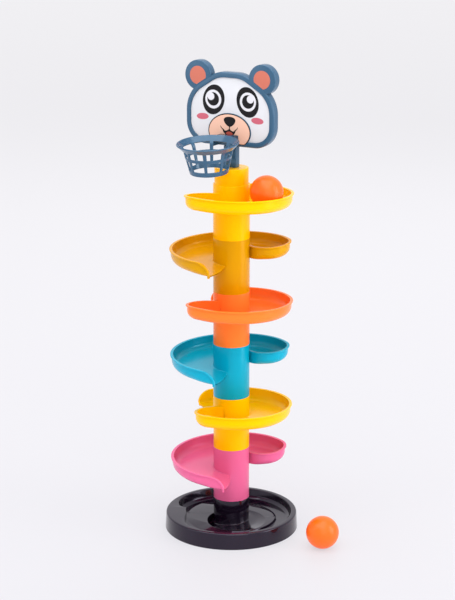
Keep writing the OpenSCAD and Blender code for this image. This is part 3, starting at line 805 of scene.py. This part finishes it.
def dish_section(az):
    """Closed section of the dish at one azimuth: top side outwards, down the skirt and back underneath."""
    well, floor = well_z(az), channel_z(az)
    mouth, edge = well_edge_r(az), channel_edge_r(az)
    disc_end = DISC_H - (DISC_H - floor) * bank_share(az)
    width = (edge - DISC_EDGE) / (CHANNEL_R - DISC_EDGE)
    wall_foot = max(DISC_EDGE + 0.1, edge - WALL_FOOT_W * width)
    bottom = min(disc_end, floor) - DISH_FLOOR
    return rounded([
        # the stub's fillet, the bowl of the well and its mouth
        (COLUMN_R - OVERLAP, well + STUB_FILLET, 0), (COLUMN_R + 0.02, well + STUB_FILLET, 0),
        (COLUMN_R + 0.12, well, STUB_FILLET_ROUND),
        (COLUMN_R + BOWL_SHARE * (mouth - COLUMN_R), well, BOWL_ROUND), (mouth, DISC_H, MOUTH_ROUND),
        # the disc and its bank, the channel and its wall
        (max(mouth + 0.5, bank_r(az)), DISC_H, 2.5),
        (DISC_R, disc_end, 1.0), (DISC_EDGE, floor, 1.2), (wall_foot, floor + WALL_FOOT_H * width, 3.5),
        (edge - WALL_BEND_W * width, floor + (DISH_H - floor) * WALL_BEND_SHARE, 3.0),
        (edge + WALL_FLARE, DISH_H, 1.4),
        # the rim and the skirt
        (RIM_R, DISH_H, RIM_ROUND), (FOOT_R, 0, 0.5), (FOOT_R - SKIRT_WALL, 0, 0.4),
        (RIM_R - SKIRT_WALL, DISH_H - DISH_FLOOR, 0.8),
        # the underside, from the rim to the stub
        (min(edge + 4, RIM_R - 5), DISH_H - DISH_FLOOR, 1.0),
        (min(edge + 1, RIM_R - 6), bottom, 1.0), (DISC_R, bottom, 0.5),
        (mouth + 2, min(DISC_H - 2.4, bottom + 6), 0.5), (mouth + 0.5, well - DISH_FLOOR, 0.5),
        (COLUMN_R - OVERLAP, well - DISH_FLOOR, 0)], corner_steps=6)


def make_base():
    turns = set(range(360))
    for end, side in ((CURL_END, -1), (CURL_START, 1), (WELL_FROM, 1)):
        turns.update(end + side * d for d in NEAR_ENDS)
    dish_rings = [[polar(r, az, z) for r, z in dish_section(az)] for az in sorted(turns)]
    stub_top = STUB_H + SPIGOT_H
    cup = SPIGOT_R - SPIGOT_WALL
    stub = turned(rounded([
        (cup, CAP_T, 0), (0, CAP_T, 0), (0, 0, 0), (COLUMN_R, 0, 0.3), (COLUMN_R, STUB_H, 0.5),
        (SPIGOT_R, STUB_H, 0), (SPIGOT_R, stub_top, 0.8), (cup, stub_top, 0.4)], closed=True))
    points, faces = box_shell((COLUMN_R - OVERLAP, -RIB_HALF, RIB_LOW),
                              (RIM_R - OVERLAP, RIB_HALF, RIB_TOP))
    ribs = [([turn_z(360 / RIB_COUNT * i) @ Vector(p) for p in points], faces) for i in range(RIB_COUNT)]
    dish = make_piece("base_dish_moulding", [lofted(dish_rings, loop=True), stub] + ribs, sharp=45)
    finish_piece(dish, "base", [base_black], ["base_dish"])


# Head

POST_W = 19.0
POST_T = 10.0
POST_H = 29.1
PEG_H = 18.0
TONGUE_W = 17.0
HEAD_FOOT = STUB_H + len(TIERS) * TIER_H + SPIGOT_H + POST_H
HEAD_T = 12.0
HEAD_WALL = 2.2
FACE_RIM = 7.2
FACE_Z = 4.4
EAR_R = 20.3
EAR_OUT = 48.9
EAR_UP = 91.7
EAR_FRONT = 5.6
EAR_PATCH_R = 12.3
MUZZLE_W = 32.0
MUZZLE_H = 24.0
MUZZLE_UP = 19.5
MUZZLE_CUT = 3.0
BRACE_HALF = 0.8
BRACE_BACK = -1.7
BRACE_FRONT = FACE_Z - 1.1
UPRIGHT_BRACE_X = 34.0
UPRIGHT_BRACE_SPAN = (1.2, 84.0)
SOCKET_WALL = 1.8
SOCKET_SPAN = (1.1, 23.8)
BOSS_EDGE = 0.6
BOSS_SINK = 1.0
BOSS_ROUND = 0.4
EAR_OVERLAP = 1.2
PATCH_T = 0.12
PATCH_SINK = 0.3
PATCH_GAP = 0.3
POST_ROUND = 0.8
PLUG_H = 22.0
PLUG_Z = (-4.4, 1.6)
PEG_HALF = 4.0
PLUG_ROUND = 0.5

# heights of the level braces and how far each reaches to both sides
LEVEL_BRACES = ((36.0, 65.0), (66.0, 59.0))

# one side of the outline from below: middle and radius of each arc
HEAD_ARCS = ((37.9, 29.5, 29.5), (23.4, 44.5, 44.0), (8.0, 56.5, 42.0))
OUTLINE_STEP = 3.0
LEAST_SIDE = 0.05


def on_head():
    """Matrix that stands a flat drawing up: X right, Y up from the head's lower edge, Z to the front."""
    return (turn_z(-HEAD_TURN) @ Matrix.Rotation(math.radians(90), 4, "X")
            @ Matrix.Translation((0, HEAD_FOOT, 0)))


def head_piece(name, *shells):
    return make_piece(name, shells, on_head())


def finish_slate(piece, *nodes):
    finish_piece(piece, "topper", [slate_plastic], nodes)


def head_outline(inset):
    """The head's outline without its ears, drawn in by inset: arcs joined by tangent lines."""
    bends = [-90.0]
    for (px, py, pr), (qx, qy, qr) in zip(HEAD_ARCS, HEAD_ARCS[1:]):
        bends.append(math.degrees(math.atan2(qy - py, qx - px)
                                  - math.acos((pr - qr) / math.hypot(qx - px, qy - py))))
    bends.append(90.0)
    side = []
    for (cx, cy, r), start, end in zip(HEAD_ARCS, bends, bends[1:]):
        side += [(cx + (r - inset) * cosd(t), cy + (r - inset) * sind(t))
                 for t in steps(start, end, math.ceil((end - start) / OUTLINE_STEP))]
    return side + [(-x, y) for x, y in reversed(side)]


def plate_shell(outline, low, high, edge=0.0):
    """A flat plate with this outline; edge rounds its front by moving the points towards the middle."""
    middle = Vector((sum(x for x, y in outline), sum(y for x, y in outline))) / len(outline)
    rings = [[(x, y, low) for x, y in outline], [(x, y, high - edge) for x, y in outline]]
    if edge > 0:
        for t in (45, 90):
            drawn = []
            for x, y in outline:
                to_middle = (middle - Vector((x, y))).normalized() * edge * (1 - cosd(t))
                drawn.append((x + to_middle.x, y + to_middle.y, high - edge + edge * sind(t)))
            rings.append(drawn)
    points, faces = lofted(rings)
    last = len(points) - len(outline)
    triangles = flat_faces(outline)
    return points, faces + triangles + [tuple(last + i for i in f) for f in triangles]


def moved(shell, x, y):
    points, faces = shell
    return [(px + x, py + y, pz) for px, py, pz in points], faces


def muzzle_outline(grow):
    """An oval with its lower end cut off level; of points that nearly meet, one is kept."""
    points = []
    for t in steps(0, 360, 96)[:-1]:
        x, y = (MUZZLE_W + grow) * cosd(t), MUZZLE_UP + (MUZZLE_H + grow) * sind(t)
        points.append((x, max(y, MUZZLE_CUT - grow)))
    kept = [points[0]]
    for p in points[1:]:
        if math.dist(p, kept[-1]) > LEAST_SIDE:
            kept.append(p)
    return kept


def cut_by_head(piece, inset):
    """Takes away what lies within the head's outline, drawn in by inset."""
    cut_out(piece, head_piece("inside_head", plate_shell(head_outline(inset), -HEAD_T, HEAD_T)))


def make_head():
    profile = rounded([
        (8.4, FACE_Z, 0), (FACE_RIM, FACE_Z, 0.35), (FACE_RIM, HEAD_T / 2, 1.2), (0, HEAD_T / 2, 3.2),
        (0, -HEAD_T / 2, 0.7), (HEAD_WALL, -HEAD_T / 2, 0.5), (HEAD_WALL, FACE_Z - HEAD_WALL, 0.8),
        (HEAD_WALL + 1.6, FACE_Z - HEAD_WALL, 0)], corner_steps=6)
    # make_piece fills the two open ends, which are the face and its back
    shell = lofted([[(x, y, z) for x, y in head_outline(inset)] for inset, z in profile])
    foot, top = UPRIGHT_BRACE_SPAN
    braces = [box_shell((x - BRACE_HALF, foot, BRACE_BACK), (x + BRACE_HALF, top, BRACE_FRONT))
              for x in (-UPRIGHT_BRACE_X, UPRIGHT_BRACE_X)]
    braces += [box_shell((-reach, y - BRACE_HALF, BRACE_BACK), (reach, y + BRACE_HALF, BRACE_FRONT))
               for y, reach in LEVEL_BRACES]
    socket_half = TONGUE_W / 2 + SOCKET_WALL
    foot, top = SOCKET_SPAN
    socket = box_shell((-socket_half, foot, -HEAD_T / 2), (socket_half, top, BRACE_FRONT))
    finish_slate(head_piece("head_moulding", shell, socket, *braces), "head_shell")
    boss = plate_shell(muzzle_outline(BOSS_EDGE), FACE_Z - BOSS_SINK, HEAD_T / 2, BOSS_ROUND)
    finish_slate(head_piece("muzzle_boss", boss))

    ear_back = EAR_FRONT - HEAD_WALL
    ear_shell = turned(rounded([
        (0, EAR_FRONT, 0), (EAR_R, EAR_FRONT, 1.9), (EAR_R, -HEAD_T / 2, 0.7),
        (EAR_R - HEAD_WALL, -HEAD_T / 2, 0.5), (EAR_R - HEAD_WALL, ear_back, 0.8), (0, ear_back, 0)],
        closed=True, corner_steps=6), 96)
    patch_top, patch_back = EAR_FRONT + PATCH_T, EAR_FRONT - PATCH_SINK
    patch_shell = turned(rounded([
        (0, patch_top, 0), (EAR_PATCH_R, patch_top, 0.08), (EAR_PATCH_R, patch_back, 0),
        (0, patch_back, 0)], closed=True), 96)
    for name, x in (("left", -EAR_OUT), ("right", EAR_OUT)):
        ear = head_piece(name + "_ear_moulding", moved(ear_shell, x, EAR_UP))
        cut_by_head(ear, EAR_OVERLAP)
        finish_slate(ear)
        patch = head_piece(name + "_ear_patch", moved(patch_shell, x, EAR_UP))
        cut_by_head(patch, -PATCH_GAP)
        finish_piece(patch, "topper", [coral_ink], [name + "_ear_label"])


def make_post():
    post = head_piece("head_post_moulding",
                      box_shell((-POST_W / 2, -POST_H, -POST_T / 2), (POST_W / 2, 0, POST_T / 2)))
    soften(post, POST_ROUND)
    finish_slate(post, "head_post")
    plugs = head_piece("head_post_plugs",
                       box_shell((-TONGUE_W / 2, -OVERLAP, PLUG_Z[0]), (TONGUE_W / 2, PLUG_H, PLUG_Z[1])),
                       box_shell((-TONGUE_W / 2, -POST_H - PEG_H, -PEG_HALF),
                                 (TONGUE_W / 2, -POST_H + OVERLAP, PEG_HALF)))
    soften(plugs, PLUG_ROUND)
    finish_slate(plugs)


# Printed labels

SHEET_T = 0.3
SHEET_SINK = 0.1
SHEET_ROUND = 0.1
SHEET_GAP = 0.15
LABEL_TOP = FACE_Z + SHEET_T
MUZZLE_TOP = HEAD_T / 2 + SHEET_T
MUZZLE_INSET = 1.0
MUZZLE_LINE_EDGE = 0.25
INK_T = 0.05
INK_SINK = 0.05
LINE_T = 0.06
TONGUE_T = 0.10
MUZZLE_LINE_T = 0.08
EYES = ((-1, -25.2, 60.9), (1, 27.4, 60.9))
CHEEK_X, CHEEK_Y, CHEEK_W, CHEEK_H, CHEEK_LEAN = 42.0, 36.9, 9.3, 4.3, 3.0
NOSE_X, NOSE_Y, NOSE_W, NOSE_TAPER, NOSE_ABOVE, NOSE_BELOW = 0.6, 33.6, 8.7, 0.26, 6.0, 7.4
SMILE_THIN, SMILE_THICK = 0.5, 1.8
LIP_LINE_W = 1.3

# ovals of an eye, one over the other: shift outwards and up, half width, half height, lean, ink
EYE_OVALS = ((-0.3, 16.5, 20.5, 17.0, black_ink), (0.2, 12.3, 12.6, 0.0, eye_white_ink),
             (0.4, 9.0, 9.0, 0.0, black_ink), (3.8, 5.2, 5.2, 0.0, eye_white_ink))


def oval(x, y, width, height, lean):
    """Outline of an oval with these half widths, leaning counter-clockwise."""
    c, s = cosd(lean), sind(lean)
    return [(x + width * cosd(t) * c - height * sind(t) * s, y + width * cosd(t) * s + height * sind(t) * c)
            for t in steps(0, 360, 72)[:-1]]


def stroke(points, widths):
    """Outline of a brush stroke along points, as wide at each as widths says."""
    left, right = [], []
    for i, (x, y) in enumerate(points):
        before, after = Vector(points[max(i - 1, 0)]), Vector(points[min(i + 1, len(points) - 1)])
        along = (after - before).normalized()
        across = Vector((-along.y, along.x)) * widths[i] / 2
        left.append((x + across.x, y + across.y))
        right.append((x - across.x, y - across.y))
    return left + right[::-1]


def curve_through(points):
    """More points on a smooth curve through these."""
    smooth = []
    for i in range(len(points) - 1):
        p0, p1 = Vector(points[max(i - 1, 0)]), Vector(points[i])
        p2, p3 = Vector(points[i + 1]), Vector(points[min(i + 2, len(points) - 1)])
        for t in steps(0, 1, 8)[:-1]:
            q = 0.5 * (2 * p1 + (p2 - p0) * t + (2 * p0 - 5 * p1 + 4 * p2 - p3) * t ** 2
                       + (3 * p1 - p0 - 3 * p2 + p3) * t ** 3)
            smooth.append(tuple(q))
    return smooth + [tuple(points[-1])]


def lens_outline(there, back):
    """Outline along one smooth curve and back along another."""
    return curve_through(there) + curve_through(back)[1:-1]


def make_print(layers):
    """The face's flat printed shapes; each layer is (outline, base z, height above it, material)."""
    materials = []
    bm = bmesh.new()
    for outline, base, rise, material in layers:
        if material not in materials:
            materials.append(material)
        add_shell(bm, plate_shell(outline, base - INK_SINK, base + rise), materials.index(material))
    bmesh.ops.recalc_face_normals(bm, faces=bm.faces)
    inks = new_object("face_print_inks", bm, on_head())
    finish_piece(inks, "topper", materials, ["face_print"])


def make_labels():
    for name, outline, back, top, material in (
            ("face_label", head_outline(FACE_RIM + SHEET_GAP), FACE_Z, LABEL_TOP, white_ink),
            ("muzzle_label", muzzle_outline(-MUZZLE_INSET), HEAD_T / 2, MUZZLE_TOP, peach_ink)):
        sheet = head_piece(name + "_sheet", plate_shell(outline, back - SHEET_SINK, top, SHEET_ROUND))
        finish_piece(sheet, "topper", [material], [name])

    layers = [(muzzle_outline(MUZZLE_LINE_EDGE), HEAD_T / 2, MUZZLE_LINE_T, black_ink)]
    for side, x, y in EYES:
        for i, (shift, width, height, lean, material) in enumerate(EYE_OVALS):
            outline = oval(x + side * shift, y + shift, width, height, side * lean)
            layers.append((outline, LABEL_TOP, INK_T * (i + 1), material))
        cheek = oval(side * CHEEK_X, CHEEK_Y, CHEEK_W, CHEEK_H, -side * CHEEK_LEAN)
        layers.append((cheek, LABEL_TOP, INK_T, cheek_ink))
    nose = [(NOSE_X + NOSE_W * cosd(t) * (1 + NOSE_TAPER * sind(t)),
             NOSE_Y + (NOSE_ABOVE if t < 180 else NOSE_BELOW) * sind(t)) for t in steps(0, 360, 64)[:-1]]
    mouth = lens_outline(
        [(-10.4, 22.8), (-6.4, 20.6), (-2.4, 21.6), (0.2, 23.4), (2.8, 21.4), (6.6, 20.2), (10.2, 22.2)],
        [(10.2, 22.2), (8.6, 18.0), (5.6, 15.2), (0.2, 14.2), (-5.4, 15.4), (-8.8, 18.6), (-10.4, 22.8)])
    tongue = lens_outline([(-5.6, 16.6), (-3.6, 18.8), (0.1, 19.8), (3.8, 18.6), (5.8, 16.4)],
                          [(5.8, 16.4), (3.0, 15.1), (0.2, 14.8), (-2.8, 15.2), (-5.6, 16.6)])
    layers += [(nose, MUZZLE_TOP, LINE_T, black_ink), (mouth, MUZZLE_TOP, LINE_T, black_ink),
               (tongue, MUZZLE_TOP, TONGUE_T, tongue_ink)]
    for corners in ([(-13.6, 26.8), (-12.4, 24.6), (-10.2, 22.6), (-8.0, 20.8)],
                    [(13.0, 26.2), (12.0, 24.2), (10.0, 22.2), (8.0, 20.4)]):
        line = curve_through(corners)
        widths = steps(SMILE_THIN, SMILE_THICK, len(line) - 1)
        layers.append((stroke(line, widths), MUZZLE_TOP, LINE_T, black_ink))
    lip_line = stroke([(0.5, 28.0), (0.3, 22.6)], [LIP_LINE_W] * 2)
    layers.append((lip_line, MUZZLE_TOP, LINE_T, black_ink))
    make_print(layers)


# Hoop

HOOP_R = 42.4
THROAT_R = 33.0
HOOP_FOOT_R = 25.6
HOOP_H = 40.0
HOOP_WALL = 2.0
HOOP_RIBS = 8
RIB_W = 4.7
RIB_BLEND = 1.6
HOOP_TILT = 5.0
HOOP_OUT = 62.3
HOOP_UP = 13.0
ARM_W = 28.0
ARM_H = 13.0
ARM_UP = 2.5
ARM_TOP = ARM_UP + ARM_H
ARM_WALL = 2.4
ARM_REACH = -22.8
TAB_HALF = 8.0
TAB_DEEP = 3.4
TAB_SPAN = (5.5, 10.5)
HOOP_ROUND = 0.55
ARM_ROUND = 0.5

# (z, outer radius) corners of the basket from the lip down
HOOP_PROFILE = ((0.6, HOOP_R), (0.0, HOOP_R), (-1.6, HOOP_R - 1.9), (-3.4, HOOP_R - 3.7),
                (-7.6, THROAT_R + 1.6), (-10.0, THROAT_R), (-HOOP_H, HOOP_FOOT_R))
HOOP_ROWS = (0.0, -1.6, -3.4, -5.4, -6.3, -7.0, -7.9, -10, -13, -15.6, -16.5, -17.3, -19.7, -20.5, -21.4,
             -25, -29.5, -33.1, -34, -34.9, -37, -39.1, -40)
HOOP_WINDOWS = ((-16.5, -7.0), (-34.0, -20.5))


def hoop_radius(z):
    """Outer radius of the hoop at height z, which is 0 at the lip and below 0 under it."""
    for (z1, r1), (z2, r2) in zip(HOOP_PROFILE, HOOP_PROFILE[1:]):
        if z >= z2:
            return r1 + (r2 - r1) * (z - z1) / (z2 - z1)
    return HOOP_FOOT_R


def make_hoop():
    """The basket is one skin of ribs and rings with its windows left out, thickened into a wall."""
    rib_angle = 2 * math.degrees(math.asin(RIB_W / 2 / (THROAT_R - HOOP_WALL)))
    gap = 360 / HOOP_RIBS
    first = 90 - gap / 2 - rib_angle / 2
    offsets = [0, rib_angle * 0.25, rib_angle * 0.75, rib_angle]
    offsets += steps(rib_angle + RIB_BLEND, gap - RIB_BLEND, 5)
    columns = [(first + i * gap + o, o > rib_angle - 1e-6) for i in range(HOOP_RIBS) for o in offsets]
    bm = bmesh.new()
    grid = [[bm.verts.new(polar(hoop_radius(z) - HOOP_WALL / 2, angle, z)) for z in HOOP_ROWS]
            for angle, beside_rib in columns]
    for c, (angle, beside_rib) in enumerate(columns):
        here, ahead = grid[c], grid[(c + 1) % len(grid)]
        for k in range(len(HOOP_ROWS) - 1):
            middle = (HOOP_ROWS[k] + HOOP_ROWS[k + 1]) / 2
            if not (beside_rib and any(low < middle < high for low, high in HOOP_WINDOWS)):
                bm.faces.new((here[k], ahead[k], ahead[k + 1], here[k + 1]))
    bmesh.ops.recalc_face_normals(bm, faces=bm.faces)
    hoop = new_object("hoop_basket", bm, turn_z(-HEAD_TURN)
                      @ Matrix.Translation((0, -HOOP_OUT, HEAD_FOOT + HOOP_UP))
                      @ Matrix.Rotation(math.radians(HOOP_TILT), 4, "X"))
    modify(hoop, "SOLIDIFY", thickness=HOOP_WALL * MM, offset=0.0, use_even_offset=True)
    soften(hoop, HOOP_ROUND, from_angle=50, sharp=60)
    modify(hoop, "SUBSURF", sharp=60, levels=1, render_levels=1)
    finish_slate(hoop, "hoop")

    back = -HEAD_T / 2
    side = [(back, ARM_UP), (-29.6, ARM_UP), (-29.5, 5.8), (-28.1, 8.4), (-24.4, 12.9), (ARM_REACH, 14.8),
            (ARM_REACH, ARM_TOP), (back, ARM_TOP)]
    shells = [box_shell((-ARM_W / 2, ARM_REACH, ARM_TOP - ARM_WALL), (ARM_W / 2, back, ARM_TOP)),
              box_shell((-ARM_W / 2, back - ARM_WALL, ARM_UP), (ARM_W / 2, back, ARM_TOP)),
              # the tab behind the head's rim
              box_shell((-TAB_HALF, back - OVERLAP, TAB_SPAN[0]), (TAB_HALF, back + TAB_DEEP, TAB_SPAN[1]))]
    for x in (-ARM_W / 2, ARM_W / 2 - ARM_WALL):
        points, faces = plate_shell(side, x, x + ARM_WALL)
        shells.append(([(pz, px, py) for px, py, pz in points], faces))
    arm_place = turn_z(-HEAD_TURN) @ Matrix.Translation((0, 0, HEAD_FOOT))
    arm = make_piece("hoop_arm", shells, arm_place, weld=0.0)
    soften(arm, ARM_ROUND)
    finish_slate(arm)


# Balls

BALL_R = 22.5
SEAM_DEEP = 0.16
SEAM_ARC = 0.9
TRAY_BALL = (46.51, -33.18, 486.64)
TRAY_BALL_LEAN = (18, -12, 40)
LOOSE_BALL = (124.7, -83.5, BALL_R)
LOOSE_BALL_LEAN = (62, 8, -25)


def make_ball(name, body, node, centre, lean):
    """A hollow ball with the fine moulding seam of its two halves; lean turns the seam about X, Y, Z."""
    profile = []
    for t in steps(-90, 90, 120):
        r = BALL_R - SEAM_DEEP * math.exp(-(t / SEAM_ARC) ** 2)
        profile.append((max(0.0, r * cosd(t)), r * sind(t)))
    place = Matrix.Translation(centre) @ Euler([math.radians(v) for v in lean]).to_matrix().to_4x4()
    ball = make_piece(name, [turned(profile, closed=False)], place, sharp=60)
    finish_piece(ball, body, [ball_plastic], [node])


# Studio

FLOOR_HALF = 16000.0
FLOOR_CLOUDS = 0.7
FLOOR_ROUGHNESS = 0.4
FLOOR_SHEEN = 0.5
FLOOR_GLOW = 0.8
BRIGHT_SPOT = (0.0, -0.5, 0.0)
FADE_LENGTH = 3.2
SKY_LIGHT = 0.85
SKY_SEEN_MORE = 0.1

# name, place, what it points at, width, height, watts, seen in glossy surfaces
SOFTBOXES = (
    ("front_softbox", (0.5, -2.7, 2.4), (0, 0, 0.25), 2.4, 1.8, 16, True),
    ("low_softbox", (0.5, -2.7, 0.85), (0, 0, 0.3), 1.8, 0.8, 8, True),
    ("overhead_softbox", (-0.2, -0.45, 2.3), (0, 0, 0.25), 2.6, 2.4, 50, True),
    ("back_softbox", (0.4, 2.2, 1.9), (0, 0, 0.3), 2.4, 1.2, 28, False),
    ("right_softbox", (1.9, -0.7, 1.0), (0, 0, 0.3), 1.0, 1.6, 14, True),
    ("right_strip", (0.95, -0.3, 0.34), (0, 0, 0.3), 0.3, 0.8, 1.4, True),
    ("left_softbox", (-2.0, -0.8, 1.1), (0, 0, 0.35), 0.9, 1.8, 4, True))


def seen_rays(tree):
    """1 for camera, mirror and see-through rays, 0 for the rays that light the scene."""
    rays = tree.nodes.new("ShaderNodeLightPath")
    seen = maths(tree, "MAXIMUM", rays.outputs["Is Camera Ray"], rays.outputs["Is Glossy Ray"])
    return maths(tree, "MAXIMUM", seen, rays.outputs["Is Transmission Ray"])


def make_floor():
    bm = bmesh.new()
    bmesh.ops.create_grid(bm, x_segments=24, y_segments=24, size=FLOOR_HALF)
    floor = new_object("studio_floor", bm)
    material, tree, shader = new_material("pale_floor")
    place = object_place(tree)
    surface = mixed(tree, noise_of(tree, place, FLOOR_CLOUDS), tone("EFEEF3"), tone("F2F1F6"))
    tree.links.new(surface, shader.inputs["Base Color"])
    set_inputs(shader, {"Roughness": FLOOR_ROUGHNESS, "Specular IOR Level": FLOOR_SHEEN})
    # the paper's own tone rises with the distance by as much as the lamps' light falls
    away = tree.nodes.new("ShaderNodeVectorMath")
    away.operation = "DISTANCE"
    away.inputs[1].default_value = BRIGHT_SPOT
    tree.links.new(place, away.inputs[0])
    distance = away.outputs["Value"]
    fade = maths(tree, "DIVIDE", distance, maths(tree, "ADD", distance, FADE_LENGTH))
    glow = tree.nodes.new("ShaderNodeEmission")
    tree.links.new(mixed(tree, fade, tone("DBDADF"), tone("FFFEFF")), glow.inputs["Color"])
    blend = tree.nodes.new("ShaderNodeMixShader")
    tree.links.new(maths(tree, "MULTIPLY", seen_rays(tree), FLOOR_GLOW), blend.inputs["Fac"])
    tree.links.new(shader.outputs[0], blend.inputs[1])
    tree.links.new(glow.outputs[0], blend.inputs[2])
    tree.links.new(blend.outputs[0], tree.nodes["Material Output"].inputs["Surface"])
    floor.data.materials.append(material)


def light_studio():
    world = bpy.data.worlds.new("studio_world")
    bpy.context.scene.world = world
    world.use_nodes = True
    tree = world.node_tree
    sky = tree.nodes["Background"]
    sky.inputs["Color"].default_value = tone("F4F3F8")
    # brighter where it is seen or mirrored than as a lamp
    seen = maths(tree, "MULTIPLY", seen_rays(tree), SKY_SEEN_MORE)
    tree.links.new(maths(tree, "ADD", seen, SKY_LIGHT), sky.inputs["Strength"])
    for name, place, target, width, height, power, mirrored in SOFTBOXES:
        lamp = bpy.data.lights.new(name, "AREA")
        lamp.shape = "RECTANGLE"
        lamp.size = width
        lamp.size_y = height
        lamp.energy = power
        box = add_object(name, lamp)
        box.location = place
        box.rotation_euler = (Vector(target) - Vector(place)).to_track_quat("-Z", "Y").to_euler()
        box.visible_camera = False
        box.visible_glossy = mirrored
    bpy.context.scene.view_settings.view_transform = "Standard"


place_camera()
make_base()
make_tiers()
make_post()
make_head()
make_labels()
make_hoop()
make_ball("tray_ball_shell", "ball_in_tray", "tray_ball", TRAY_BALL, TRAY_BALL_LEAN)
make_ball("loose_ball_shell", "ball_on_floor", "loose_ball", LOOSE_BALL, LOOSE_BALL_LEAN)
make_floor()
light_studio()
